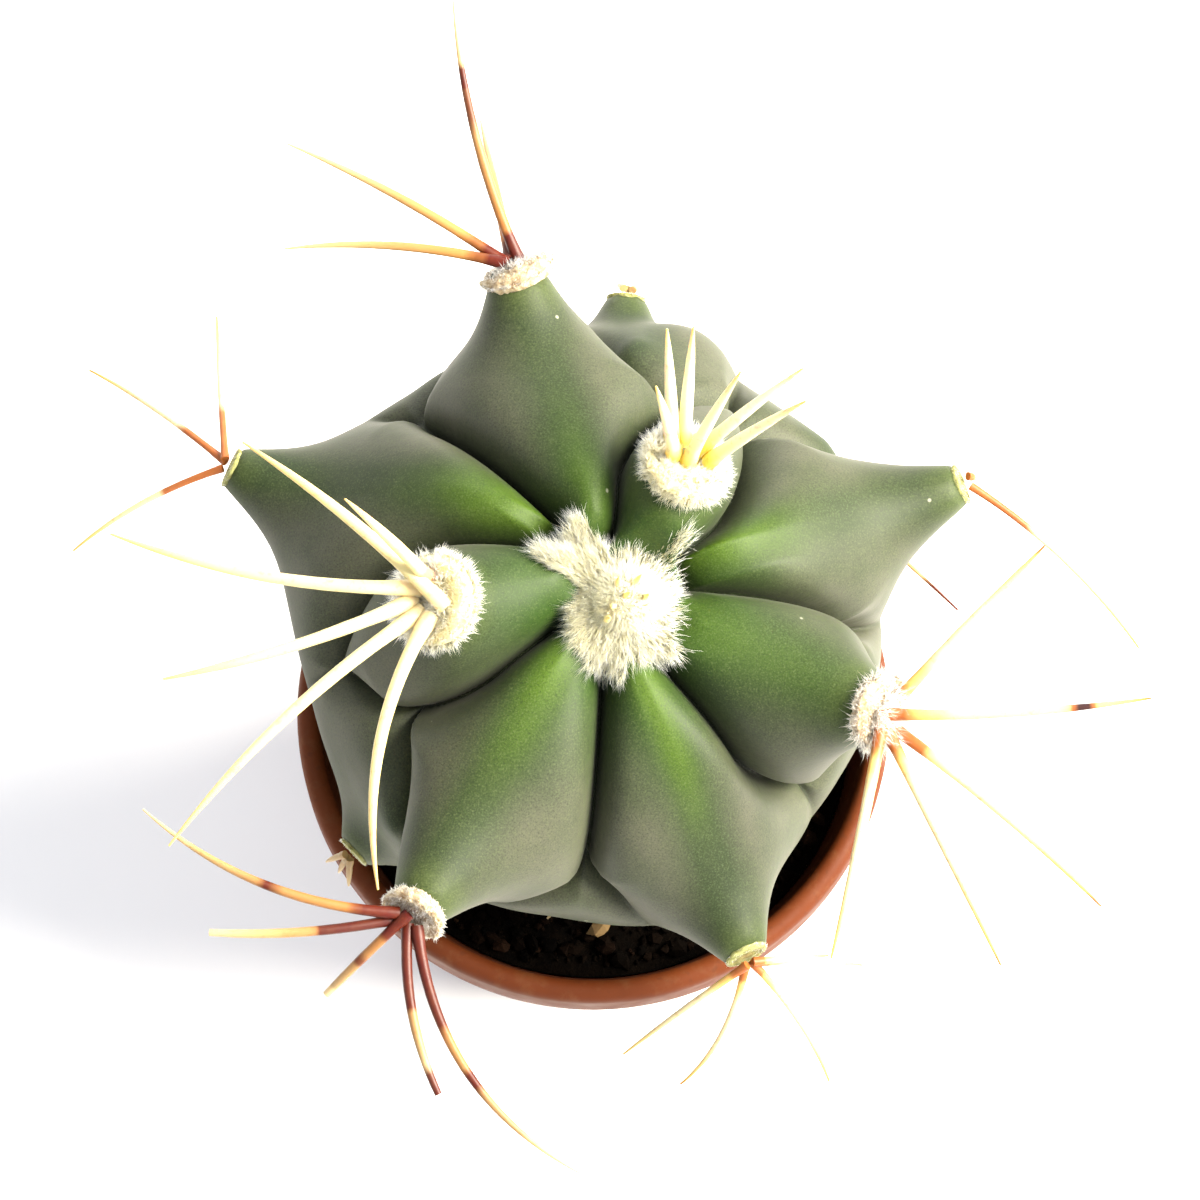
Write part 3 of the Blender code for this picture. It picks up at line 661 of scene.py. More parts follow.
def clear_of_pot(points):
    """Draws in what would come too near the rim."""
    room = pot_inside(POT_HEIGHT) - RIM_CLEARANCE
    allowed = room + np.maximum(points[:, 2] - POT_HEIGHT - RIM_CLEARANCE, 0) * OVERHANG
    reach = np.hypot(points[:, 0], points[:, 1])
    share = np.minimum(1, allowed / np.maximum(reach, MM))
    drawn = points.copy()
    drawn[:, :2] *= share[:, None]
    return drawn


def crowded(directions):
    """Turns directions towards the crown's axis, so that more of them look at the crown."""
    axis = crown_frame()[2]
    polar = angle_to(directions, axis)
    turned_polar = polar * (SKIN_CROWDING + (1 - SKIN_CROWDING) * polar / math.pi)
    across = directions - np.cos(polar)[:, None] * axis
    across /= np.maximum(np.linalg.norm(across, axis=1), 1e-9)[:, None]
    return np.cos(turned_polar)[:, None] * axis + np.sin(turned_polar)[:, None] * across


def on_skin(azimuths, distances):
    """Points of the skin at a distance from the crown's axis, and the outward directions there."""
    right, back, axis = crown_frame()
    polar = (distances / DISH_FLOOR)[:, None]
    around = np.cos(azimuths)[:, None] * right + np.sin(azimuths)[:, None] * back
    directions = np.cos(polar) * axis + np.sin(polar) * around
    radius = skin_fields(directions)[0]
    return BODY_CENTRE + directions * radius[:, None], directions, around


def areole_frame(tip):
    """A matrix whose Z points out of the areole and whose X points towards the crown."""
    out = Vector(tip - BODY_CENTRE).normalized()
    uphill = Vector(CROWN_LEAN) - out * Vector(CROWN_LEAN).dot(out)
    uphill.normalize()
    side = out.cross(uphill)
    turn = Matrix((uphill, side, out)).transposed().to_4x4()
    return Matrix.Translation(Vector(tip)) @ turn


# Materials


def skin_material():
    shade = Shader("cactus_skin", (0.014, 0.025, 0.006))
    crease, ridge, polar, tip = map(shade.attribute, ("crease", "ridge", "polar", "tip"))
    cloud = shade.noise(90, 4, 0.55)
    shade.coat(shade.span(cloud, 0.35, 0.65), (0.026, 0.038, 0.013))
    # Deeper green about the crown
    near_crown = shade.times(shade.span(polar, 0.24, 0.09), shade.span(cloud, 0.3, 0.6, 0.5, 1.0))
    shade.coat(near_crown, (0.016, 0.044, 0.002))
    # Grey bloom on the flanks, away from the ridge and the crown
    bloom = shade.times(shade.span(ridge, 0.5, 1.8), shade.span(polar, 0.12, 0.28))
    bloom = shade.times(bloom, shade.spots(160, 3, 0.3, 0.6, 0.45, 1.0))
    shade.coat(bloom, (0.062, 0.064, 0.041))
    # Fresh green along the ridges near the crown
    fresh = shade.times(shade.attribute("stripe"), shade.spots(240, 3, 0.2, 0.6, 0.6, 1.0))
    shade.coat(fresh, (0.044, 0.088, 0.001))
    # Light green collar under the felt
    shade.coat(shade.span(tip, 1.4, 0.0, 0.0, 0.35), (0.07, 0.095, 0.02))
    # Painted shade in the furrow: darker green beside it, partly the skin's own, and a nearly black line
    beside = shade.times(shade.span(crease, 1.2, 0.1, 0.0, 0.3), shade.span(polar, 0.42, 0.26))
    shade.coat(beside, (0.014, 0.034, 0.002))
    furrow_shade_line = shade.times(shade.span(crease, 0.4, 0.05, 0.0, 0.9), shade.span(polar, 0.5, 0.38))
    shade.coat(furrow_shade_line, (0.002, 0.005, 0.0005))
    # Fine grain of the waxy skin, and a few pale specks
    grain = shade.noise(6000, 3, 0.7)
    shade.coat(shade.span(grain, 0.52, 0.72, 0.0, 0.38), (0.11, 0.14, 0.055))
    shade.coat(shade.span(grain, 0.48, 0.3, 0.0, 0.6), (0.006, 0.012, 0.003))
    specks = shade.span(shade.cells(330), 0.08, 0.05, 0.0, 0.6)
    shade.coat(shade.times(specks, shade.spots(420, 0, 0.66, 0.69)), (0.35, 0.35, 0.27))
    shade.bump(shade.math("ADD", shade.times(grain, 0.5), shade.noise(1300)), 0.22, 0.1)
    sheen = {"Sheen Weight": 0.05, "Sheen Roughness": 0.4, "Sheen Tint": (1.0, 0.95, 0.85)}
    return shade.finish(shade.span(grain, 0.3, 0.7, 0.5, 0.64), 0.25, 0.1, (0.6, 1.0, 0.3), sheen)


def wool_material(name, root_colour, tip_colour, dull):
    """Hairs that let light through. dull is how far some of them are darker."""
    shade = Shader(name, root_colour)
    shade.coat(shade.span(shade.attribute("along"), 0.0, 0.6), tip_colour)
    dark = [0.45 * part for part in root_colour]
    shade.coat(shade.span(shade.attribute("tone"), 0.45, 0.9, 0.0, dull), dark)
    shade.coat(shade.spots(900, 2, 0.45, 0.75, 0.0, 0.25), root_colour)
    return shade.finish(0.8, 0.2, 1.0, (1.6, 1.4, 0.9), {"Sheen Weight": 0.2})


def wool_mat_material():
    shade = Shader("wool_mat", (0.78, 0.68, 0.28))
    shade.coat(shade.span(shade.noise(1200, 4, 0.6), 0.35, 0.65), (0.92, 0.85, 0.44))
    shade.bump(shade.noise(2600, 4, 0.7), 0.9, 0.25)
    return shade.finish(0.9, 0.15, 1.0, (2.0, 1.8, 1.2), {"Subsurface Scale": 0.05})


def bud_material():
    shade = Shader("young_spine_points")
    stops = ((0.0, (0.85, 0.7, 0.3)), (0.6, (0.84, 0.68, 0.22)), (1.0, (0.75, 0.5, 0.12)))
    shade.ramp(shade.attribute("along"), stops)
    shade.coat(shade.spots(1500, 2, 0.4, 0.7, 0.0, 0.4), (0.85, 0.75, 0.4))
    return shade.finish(0.45, 0.5)


def felt_core_material(name, dark, pale, seat_colour):
    shade = Shader(name, dark)
    shade.coat(shade.span(shade.noise(1500, 4, 0.6), 0.35, 0.6), pale)
    shade.coat(shade.span(shade.attribute("seat"), 0.2, 1.0, 0.0, 0.7), seat_colour)
    shade.bump(shade.noise(3000, 4, 0.7), 0.7, 0.2)
    return shade.finish(0.9, 0.15, 0.4, (0.9, 0.8, 0.5))


def spine_material(name, stops, band_colour, glow=0.3):
    """A spine's colours from root to tip, and its dark bands."""
    shade = Shader(name)
    wander = shade.spots(700, 2, 0.3, 0.7, -0.02, 0.02)
    shift = shade.span(shade.attribute("tone"), 0.0, 1.0, -0.03, 0.03)
    place = shade.math("ADD", shade.math("ADD", shade.attribute("along"), wander), shift)
    shade.ramp(place, stops)
    shade.coat(shade.spots(1500, 3, 0.56, 0.7, 0.0, 0.3), (0.34, 0.15, 0.04))
    band = shade.attribute("band")
    mottle = shade.spots(1100, 3, 0.35, 0.65, 0.94, 1.0)
    shade.coat(shade.times(shade.span(band, 0.0, 1.0), mottle), band_colour)
    shade.coat(shade.span(band, 1.0, 2.0), SCORCHED)
    shade.bump(shade.noise(2200), 0.2, 0.08)
    return shade.finish(0.42, 0.3, glow, (0.8, 0.5, 0.2))


def spine_materials():
    pale = spine_material(
        "spine_pale",
        (
            (0.0, (0.7, 0.56, 0.3)), (0.08, (0.66, 0.58, 0.3)), (0.6, (0.64, 0.55, 0.25)),
            (0.78, (0.6, 0.48, 0.2)), (0.9, (0.56, 0.42, 0.17)), (1.0, (0.48, 0.3, 0.11)),
        ),
        (0.6, 0.26, 0.14),
    )
    golden = spine_material(
        "spine_golden",
        (
            (0.0, (0.8, 0.6, 0.12)), (0.06, (0.8, 0.68, 0.25)), (0.14, (0.8, 0.72, 0.4)),
            (0.42, (0.8, 0.75, 0.5)), (0.74, (0.78, 0.72, 0.46)), (0.9, (0.7, 0.6, 0.3)),
            (1.0, (0.6, 0.42, 0.16)),
        ),
        (0.8, 0.5, 0.1),
        0.6,
    )
    amber = spine_material(
        "spine_amber",
        (
            (0.0, (0.6, 0.32, 0.08)), (0.15, (0.64, 0.44, 0.14)), (0.28, (0.64, 0.56, 0.33)),
            (0.6, (0.62, 0.53, 0.3)), (0.8, (0.57, 0.44, 0.17)), (0.94, (0.52, 0.36, 0.1)),
            (1.0, (0.42, 0.2, 0.04)),
        ),
        (0.3, 0.085, 0.02),
    )
    red = spine_material(
        "spine_red",
        (
            (0.0, (0.38, 0.13, 0.03)), (0.2, (0.38, 0.18, 0.05)), (0.5, (0.38, 0.21, 0.075)),
            (0.75, (0.46, 0.32, 0.14)), (1.0, (0.52, 0.4, 0.22)),
        ),
        (0.075, 0.006, 0.002),
        0.15,
    )
    tan = spine_material(
        "spine_tan",
        ((0.0, (0.3, 0.2, 0.09)), (1.0, (0.42, 0.31, 0.16))),
        (0.26, 0.13, 0.06),
    )
    return {"pale_spine": pale, "golden": golden, "amber_spine": amber, "red_spine": red, "tan": tan}


def pot_material():
    shade = Shader("terracotta_plastic", (0.085, 0.018, 0.004))
    shade.coat(shade.spots(60, 4, 0.3, 0.7), (0.125, 0.03, 0.007))
    # Dust and grime
    shade.coat(shade.span(shade.noise(420, 4, 0.65), 0.52, 0.72, 0.0, 0.35), (0.14, 0.06, 0.025))
    shade.coat(shade.spots(1200, 3, 0.6, 0.7, 0.0, 0.4), (0.07, 0.02, 0.008))
    shade.bump(shade.noise(1800), 0.2, 0.1)
    return shade.finish(shade.spots(300, 3, 0.3, 0.7, 0.5, 0.7), 0.15)


def soil_material():
    # Nearly black: dark peat, made darker still as painted shade for the soil down in the pot
    shade = Shader("potting_soil", (0.001, 0.0007, 0.0005))
    shade.coat(shade.span(shade.noise(700, 5, 0.65), 0.35, 0.7), (0.004, 0.0023, 0.0013))
    shade.bump(shade.noise(1600, 5, 0.7), 1.0, 0.5)
    return shade.finish(0.95, 0.04)


def crumb_material():
    shade = Shader("soil_crumbs")
    # Dark peat tones, made darker still as painted shade, then pale brown grit
    stops = (
        (0.0, (0.001, 0.0007, 0.0005)), (0.6, (0.003, 0.0017, 0.001)), (0.9, (0.006, 0.003, 0.0018)),
        (0.975, (0.02, 0.01, 0.006)), (1.0, (0.2, 0.13, 0.06)),
    )
    shade.ramp(shade.attribute("tone"), stops)
    shade.bump(shade.noise(3000), 0.6, 0.15)
    return shade.finish(0.92, 0.03)


# Pot and soil


def pot_inside(height):
    """Radius of the pot's inner wall at a height."""
    low = BASE_RADIUS - POT_WALL
    high = RIM_RADIUS - LIP_WIDTH
    return low + (high - low) * height / POT_HEIGHT


def make_pot():
    edge = LIP_WIDTH / 2
    lip_middle = (RIM_RADIUS - edge, POT_HEIGHT - edge)
    lip_foot = POT_HEIGHT - LIP_DROP
    inner_corner = (pot_inside(INNER_CORNER + POT_FLOOR) - INNER_CORNER, POT_FLOOR + INNER_CORNER)
    profile = [
        (0, POT_FLOOR),
        *arc(inner_corner, INNER_CORNER, 270, 355, 6),
        (pot_inside(lip_foot), lip_foot),
        *arc(lip_middle, edge, 180, 0, 17),
        (RIM_RADIUS, lip_foot + SKIRT_BEVEL),
        *arc((RIM_RADIUS - SKIRT_BEVEL, lip_foot + SKIRT_BEVEL), SKIRT_BEVEL, -15, -90, 4),
        (pot_inside(lip_foot) + POT_WALL, lip_foot),
        (pot_inside(lip_foot * 0.98) + POT_WALL, lip_foot * 0.98),
        (pot_inside(FOOT_BEVEL * 1.5) + POT_WALL, FOOT_BEVEL * 1.5),
        *arc((BASE_RADIUS - FOOT_BEVEL, FOOT_BEVEL), FOOT_BEVEL, 0, -90, 6),
        (0, 0),
    ]
    pot = turned("pot_shell", profile, POT_STEPS)
    cutters = []
    for index in range(DRAIN_HOLES):
        angle = 2 * math.pi * index / DRAIN_HOLES
        where = (DRAIN_CIRCLE * math.cos(angle), DRAIN_CIRCLE * math.sin(angle), POT_FLOOR / 2)
        bpy.ops.mesh.primitive_cylinder_add(
            vertices=32, radius=DRAIN_RADIUS, depth=4 * POT_FLOOR, location=where
        )
        cutters.append(bpy.context.object)
        cut = pot.modifiers.new("drain", "BOOLEAN")
        cut.operation = "DIFFERENCE"
        cut.object = cutters[-1]
        cut.solver = "EXACT"
    applied(pot)
    for cutter in cutters:
        bpy.data.objects.remove(cutter, do_unlink=True)
    pot.data.set_sharp_from_angle(angle=math.radians(40))
    return dress(pot, pot_material(), "pot", "pot")


def soil_height(x, y):
    spot = Vector((x, y, 0))
    return SOIL_TOP + sum(rise * noise.noise(spot * often) for rise, often in SOIL_LUMPS) * SOIL_RELIEF


def soil_ring(number, reach):
    """Points about the soil's middle. Every second ring is turned by half a step."""
    turns = [2 * math.pi * (side + 0.5 * (number % 2)) / SOIL_SIDES for side in range(SOIL_SIDES)]
    return [(reach * math.cos(turn), reach * math.sin(turn)) for turn in turns]


def make_soil():
    edge = pot_inside(SOIL_TOP) - 0.5 * GAP
    low = POT_FLOOR + GAP
    layers = []
    for ring in range(1, SOIL_RINGS + 1):
        points = soil_ring(ring, edge * ring / SOIL_RINGS)
        layers.append([(x, y, soil_height(x, y)) for x, y in points])
    layers.append([(x, y, low) for x, y in soil_ring(SOIL_RINGS, pot_inside(low) - INNER_CORNER)])
    mesh = shell("soil_top", layers, ((0, 0, soil_height(0, 0)), (0, 0, low)))
    return dress(new_object("soil_top", mesh), soil_material(), "soil", "soil")


def crumb_shape():
    """The points and faces of one rough crumb."""
    work = bmesh.new()
    bmesh.ops.create_icosphere(work, subdivisions=1, radius=1)
    points = np.array([v.co for v in work.verts])
    faces = np.array([[v.index for v in face.verts] for face in work.faces])
    work.free()
    return points, faces


def make_crumbs():
    """Peat and grit on the soil, kept clear of the wall."""
    draw = np.random.default_rng(CRUMB_SEED)
    points, faces = crumb_shape()
    verts = []
    polys = []
    tones = []
    edge = pot_inside(SOIL_TOP) - 1.2 * MM
    for number in range(CRUMBS):
        reach = edge * math.sqrt(draw.uniform(0.03, 1))
        angle = draw.uniform(0, 2 * math.pi)
        x, y = reach * math.cos(angle), reach * math.sin(angle)
        size = CRUMB_SIZES[0] + (CRUMB_SIZES[1] - CRUMB_SIZES[0]) * draw.power(0.35)
        tone = draw.uniform(0, DARK_TONES) if draw.uniform() < DARK_CRUMBS else PALE_BROWN
        if number == 0:
            x, y = PALE_GRAIN
            size, tone = PALE_GRAIN_SIZE, 1.0
        stretch = draw.uniform(0.6, 1.15, 3)
        lumps = 1 + draw.uniform(-0.25, 0.25, (len(points), 1))
        turn = np.array(Matrix.Rotation(draw.uniform(0, 6.28), 3, Vector(draw.normal(size=3))))
        shape = (points * lumps * stretch * size) @ turn.T
        shape += (x, y, soil_height(x, y) + 0.25 * size)
        polys.append(faces + len(verts) * len(points))
        verts.append(shape)
        tones.append(np.full(len(points), tone))
    mesh = bpy.data.meshes.new("soil_crumbs")
    mesh.from_pydata(np.concatenate(verts).tolist(), [], np.concatenate(polys).tolist())
    set_attributes(mesh, tone=np.concatenate(tones))
    return dress(new_object("soil_crumbs", mesh), crumb_material(), "soil")


# Stem


def make_skin():
    stem = ball("stem_skin", 7)
    move_points(stem, crowded(unit(points_of(stem))))
    split_furrows(stem.data)
    directions = unit(points_of(stem))
    radius, fields = skin_fields(directions)
    move_points(stem, clear_of_pot(BODY_CENTRE + directions * radius[:, None]))
    set_attributes(stem.data, **fields)
    stem.data.shade_smooth()
    return dress(stem, skin_material(), "skin", "stem")


def split_furrows(mesh):
    """Splits the faces beside the furrows, so that their sharp lines run smoothly."""
    work = bmesh.new()
    work.from_mesh(mesh)
    work.verts.ensure_lookup_table()
    fields = skin_fields(unit(np.array([v.co for v in work.verts])))[1]
    near = (np.abs(fields["crease"]) < FINE_FURROW) & (fields["polar"] < FINE_POLAR)
    edges = [e for e in work.edges if near[e.verts[0].index] and near[e.verts[1].index]]
    bmesh.ops.subdivide_edges(work, edges=edges, cuts=1, use_grid_fill=True)
    bmesh.ops.triangulate(work, faces=work.faces)
    work.to_mesh(mesh)
    work.free()


# Hairs


def hair_mesh(name, roots, directions, lengths, curls, radius, tones):
    """Thin three-sided tapered hairs. curls moves each tip sideways."""
    count = len(roots)
    draw = np.random.default_rng(HAIR_SEED)
    side = unit(np.cross(directions, draw.normal(size=(count, 3))))
    other = np.cross(directions, side)
    layers = []
    alongs = []
    for share in HAIR_RINGS:
        middle = roots + directions * (lengths * share)[:, None] + curls * share**2
        width = radius * (1 - HAIR_TAPER * share)
        for corner in range(3):
            angle = 2 * math.pi * corner / 3
            layers.append(middle + width * (math.cos(angle) * side + math.sin(angle) * other))
            alongs.append(np.full(count, share))
    layers.append(roots + directions * lengths[:, None] + curls)
    alongs.append(np.ones(count))
    per_hair = len(layers)
    points = np.stack(layers, axis=1).reshape(-1, 3)
    pattern = [(2, 1, 0)]
    for corner, after in ((0, 1), (1, 2), (2, 0)):
        pattern.append((corner, after, after + 3))
        pattern.append((corner, after + 3, corner + 3))
    for corner, after in ((3, 4), (4, 5), (5, 3)):
        pattern.append((corner, after, per_hair - 1))
    faces = (np.arange(count)[:, None, None] * per_hair + np.array(pattern)[None]).reshape(-1, 3)
    mesh = bpy.data.meshes.new(name)
    mesh.from_pydata(points.tolist(), [], faces.tolist())
    set_attributes(mesh, along=np.stack(alongs, axis=1).ravel(), tone=np.repeat(tones, per_hair))
    mesh.shade_smooth()
    return mesh


def clumped(draw, places, strength, cell):
    """A direction for each place that its near neighbours share, so that hairs mat into tufts."""
    found = []
    seed = Vector(draw.uniform(0, 100, 3))
    for place in places:
        found.append(noise.noise_vector(Vector(place) / cell + seed))
    return np.array(found) * strength


def make_crown_wool():
    draw = np.random.default_rng(WOOL_SEED)
    right, back, axis = crown_frame()
    foot = BODY_CENTRE + axis * (DISH_FLOOR + GAP + WOOL_UNDER)
    angle = draw.uniform(0, 2 * math.pi, DOME_HAIRS)
    share = np.sqrt(draw.uniform(0, 1, DOME_HAIRS))
    flat = share * DOME_REACH
    x, y = flat * np.cos(angle), flat * np.sin(angle)
    up = np.sqrt(np.maximum(1 - share**2, 0))
    place = x[:, None] * right * WOOL_RADIUS + y[:, None] * back * WOOL_RADIUS
    height = WOOL_OVER * DOME_RISE * up - draw.uniform(-0.1, 0.3, DOME_HAIRS) * MM
    roots = foot + place + height[:, None] * axis
    outward = np.cos(angle)[:, None] * right + np.sin(angle)[:, None] * back
    lean = 0.1 + 0.9 * share**2
    directions = lean[:, None] * outward + (1.0 - 0.6 * share)[:, None] * axis
    directions += clumped(draw, roots, 0.5, 0.4 * MM) + draw.normal(size=(DOME_HAIRS, 3)) * 0.4
    directions = unit(directions)
    lengths = draw.uniform(*DOME_LENGTHS, DOME_HAIRS) * MM * (0.75 + 0.25 * share)
    curls = outward * (0.3 * MM * share)[:, None] + draw.normal(size=(DOME_HAIRS, 3)) * 0.25 * MM
    tones = np.clip(draw.uniform(0, 1.0, DOME_HAIRS) * (0.3 + 0.7 * share**2), 0, 1)
    material = wool_material("crown_wool", (0.8, 0.73, 0.36), (0.94, 0.89, 0.5), 0.5)
    dome = hair_mesh("crown_wool_hairs", roots, directions, lengths, curls, WOOL_HAIR_RADIUS, tones)
    dress(new_object("crown_wool_hairs", dome), material, "wool", "crown_wool")
    parts = [tuft(draw, *row) for row in TUFTS]
    joined = [np.concatenate(arrays) for arrays in zip(*parts)]
    mat = hair_mesh("crown_wool_tufts", *joined[:4], WOOL_HAIR_RADIUS, joined[4])
    dress(new_object("crown_wool_tufts", mat), material, "wool")
    make_crown_core(foot, right, back, axis)


def tuft(draw, azimuth, spreads, first, last, count):
    """Long fine hairs that root in a wedge beside the dome and lie outwards on the skin."""
    axis = crown_frame()[2]
    far = draw.uniform(size=count) ** 1.1
    reach = (first + (last - first) * far) * MM
    spread = spreads[0] + (spreads[1] - spreads[0]) * far
    turn = np.radians(azimuth + np.clip(draw.normal(size=count), -1.6, 1.6) * spread)
    places, out, away = on_skin(turn, reach)
    own = np.linalg.norm(places - BODY_CENTRE, axis=1)
    tallest = own
    for aside in WOOL_BRIDGE:
        beside = on_skin(turn + aside, reach)[0]
        tallest = np.maximum(tallest, np.linalg.norm(beside - BODY_CENTRE, axis=1))
    bridge = (tallest - own) * draw.uniform(0, 0.75, count)
    lift = bridge + draw.uniform(-0.1, 0.7, count) * (1 - 0.6 * far) * MM
    roots = places + out * lift[:, None]
    directions = away + axis * (0.25 - 0.15 * far + 0.3 * draw.uniform(size=count))[:, None]
    directions = directions + clumped(draw, roots, 0.8, 0.6 * MM)
    directions = unit(directions + draw.normal(size=(count, 3)) * 0.14)
    lengths = draw.uniform(*TUFT_LENGTHS, count) * MM
    curls = draw.normal(size=(count, 3)) * 0.26 * MM
    return roots, directions, lengths, curls, draw.uniform(0.0, 1.0, count)


def make_crown_core(foot, right, back, axis):
    """The matted body of the crown's wool, and the points of the youngest spines in it."""
    core = ball("crown_wool_mat", 5)
    coords = points_of(core)
    for point in coords:
        lump = 1 + 0.1 * noise.noise(Vector(point) * 3.1) + 0.05 * noise.noise(Vector(point) * 9)
        point[:2] *= WOOL_RADIUS * DOME_CORE * lump
        point[2] *= WOOL_OVER * DOME_RISE * lump if point[2] > 0 else WOOL_UNDER
    move_points(core, foot + coords @ np.array((right, back, axis)))
    core.data.shade_smooth()
    dress(core, wool_mat_material(), "wool")
    draw = np.random.default_rng(BUD_SEED)
    parts = []
    for x, y in BUDS:
        base = foot + (x * right + y * back) * MM + axis * (WOOL_OVER * 0.2)
        lean = unit((x * right + y * back) * 0.12 + axis + draw.normal(size=3) * 0.12)
        target = base + lean * (WOOL_OVER * 0.3 + BUD_LENGTH)
        ends = (Vector(base), Vector(target))
        parts.append((spine_rings(*ends, BUD_RADIUS, 0, BUD_TIP_RADIUS, BUD_TONE), ()))
    mesh = joined_tubes("crown_buds", parts)
    dress(new_object("crown_buds", mesh), bud_material(), "pale_spine")


# Areoles


def plate_radius(plate, width, around):
    """Radius of the oval root plate at an angle from the side of the crown."""
    deep = plate[1] * width
    wide = plate[2] * width
    return deep * wide / math.hypot(wide * math.cos(around), deep * math.sin(around))


def felt_span(index, width, around):
    """Inner and outer radius of the felt about the plate's middle."""
    plate = PLATES[age(index)]
    inner = plate_radius(plate, width, around) + GAP
    shift = plate[0] * width
    outer = math.sqrt((width / 2) ** 2 - (shift * math.sin(around)) ** 2) + shift * math.cos(around)
    return inner, max(outer, inner + FELT_MIN)


def felt_top(index, width, around):
    inner, outer = felt_span(index, width, around)
    return GAP + FELT_HEIGHTS[age(index)] * (outer - inner)


def felt_surface(index, width, around, share):
    """A point of the felt in the areole's frame. share runs from the plate's middle to the edge."""
    inner, outer = felt_span(index, width, around)
    reach = outer * share * FELT_REACHES[index]
    seat = min(1, reach / inner)
    across = np.clip((reach - inner) / (outer - inner), 0, 1)
    crest = felt_top(index, width, around) * FELT_LOWERED[age(index)]
    low = crest * FELT_FILLS[index]
    if reach < inner:
        height = low * (0.75 + 0.25 * seat)
    else:
        height = low + (crest - low) * math.sin(math.pi * min(FELT_CREST, across))
        height *= math.sqrt(max(0, 1 - across**4))
    spot = Vector((reach * math.cos(around), reach * math.sin(around), index * 0.01))
    lumps = sum(rise * noise.noise(spot / (size * width)) for size, rise in FELT_LUMPS)
    grains = sum(rise * abs(noise.noise(spot / (size * width))) for size, rise in FELT_GRAINS)
    crumbs = FELT_CRUMBS[age(index)] * width * (lumps + grains)
    reach += crumbs * share**2
    height += crumbs * min(1, share * 2) * (1 - 0.8 * share**6)
    shift = PLATES[age(index)][0] * width
    place = (reach * math.cos(around) - shift, reach * math.sin(around), height)
    return Vector(place), 1 - seat


def felt_frame(index, tip):
    return areole_frame(tip) @ Matrix.Rotation(TILTS.get(index, 0), 4, "X")


def make_felt_core(index, tip, width):
    """A crumbly mound of felt, sunk where the spines come out."""
    to_world = felt_frame(index, tip)
    turns = [2 * math.pi * side / FELT_SIDES for side in range(FELT_SIDES)]
    under = -FELT_UNDER * width
    rows = []
    for ring in range(1, FELT_RINGS + 1):
        rows.append([felt_surface(index, width, turn, ring / FELT_RINGS) for turn in turns])
    foot = [felt_surface(index, width, turn, 0.9)[0] for turn in turns]
    rows.append([(Vector((place.x, place.y, under)), 0) for place in foot])
    layers = [[to_world @ place for place, _ in row] for row in rows]
    top = felt_surface(index, width, 0, 0)[0]
    bottom = Vector((-PLATES[age(index)][0] * width, 0, under))
    name = f"felt_mat_{index + 1:02d}"
    mesh = shell(name, layers, (to_world @ top, to_world @ bottom))
    set_attributes(mesh, seat=[seat for row in rows for _, seat in row] + [1, 0])
    return new_object(name, mesh)


def make_felt_hairs(index, tip, width):
    draw = np.random.default_rng(FELT_SEED + index)
    count = FELT_HAIRS[index]
    to_world = felt_frame(index, tip)
    roots = []
    directions = []
    growths = []
    for _ in range(count):
        around = draw.uniform(0, 2 * math.pi)
        share = math.sqrt(draw.uniform(0.08, 1))
        inner, outer = felt_span(index, width, around)
        share = max(share, inner / outer * draw.uniform(0.8, 1.2))
        share = min(share, 0.99)
        out = Vector((math.cos(around), math.sin(around), 0))
        chance = draw.uniform()
        among_roots = index < OLD_FROM and chance < ROOT_HAIRS[index]
        if among_roots:
            share = inner / outer * math.sqrt(draw.uniform())
        place, _ = felt_surface(index, width, around, share)
        across = (share * outer - inner) / (outer - inner)
        lean = out * (1.5 * across - 0.5) + Vector((0, 0, 1.15 - 0.6 * across))
        if among_roots:
            lean = out * draw.uniform(0, 0.8) + Vector((-0.2, 0, 1.2))
        elif chance > 1 - SIDE_HAIRS:
            place, _ = felt_surface(index, width, around, 1)
            place.z *= draw.uniform(-0.3, 1)
            lean = out + Vector((0, 0, draw.uniform(-0.5, 0.3)))
        growths.append(among_roots)
        roots.append(to_world @ (place - lean.normalized() * 0.15 * MM))
        directions.append(to_world.to_3x3() @ lean)
    roots = np.array(roots)
    directions = unit(np.array(directions)) + clumped(draw, roots, 1.3, 0.09 * width)
    directions = unit(directions + draw.normal(size=(count, 3)) * 0.3)
    shortest, longest = FELT_HAIR_LENGTHS[index] if index < OLD_FROM else OLD_HAIR_LENGTHS
    lengths = draw.uniform(shortest, longest, count) * MM
    if index < OLD_FROM:
        lengths = np.where(growths, ROOT_HAIR_LENGTHS[index] * MM * draw.uniform(0.4, 1, count), lengths)
    curls = draw.normal(size=(count, 3)) * 0.22 * lengths[:, None]
    name = f"felt_{index + 1:02d}"
    radius = FELT_HAIR_RADII[age(index)]
    mesh = hair_mesh(name, roots, directions, lengths, curls, radius, draw.uniform(0, 1, count))
    return new_object(name, mesh)


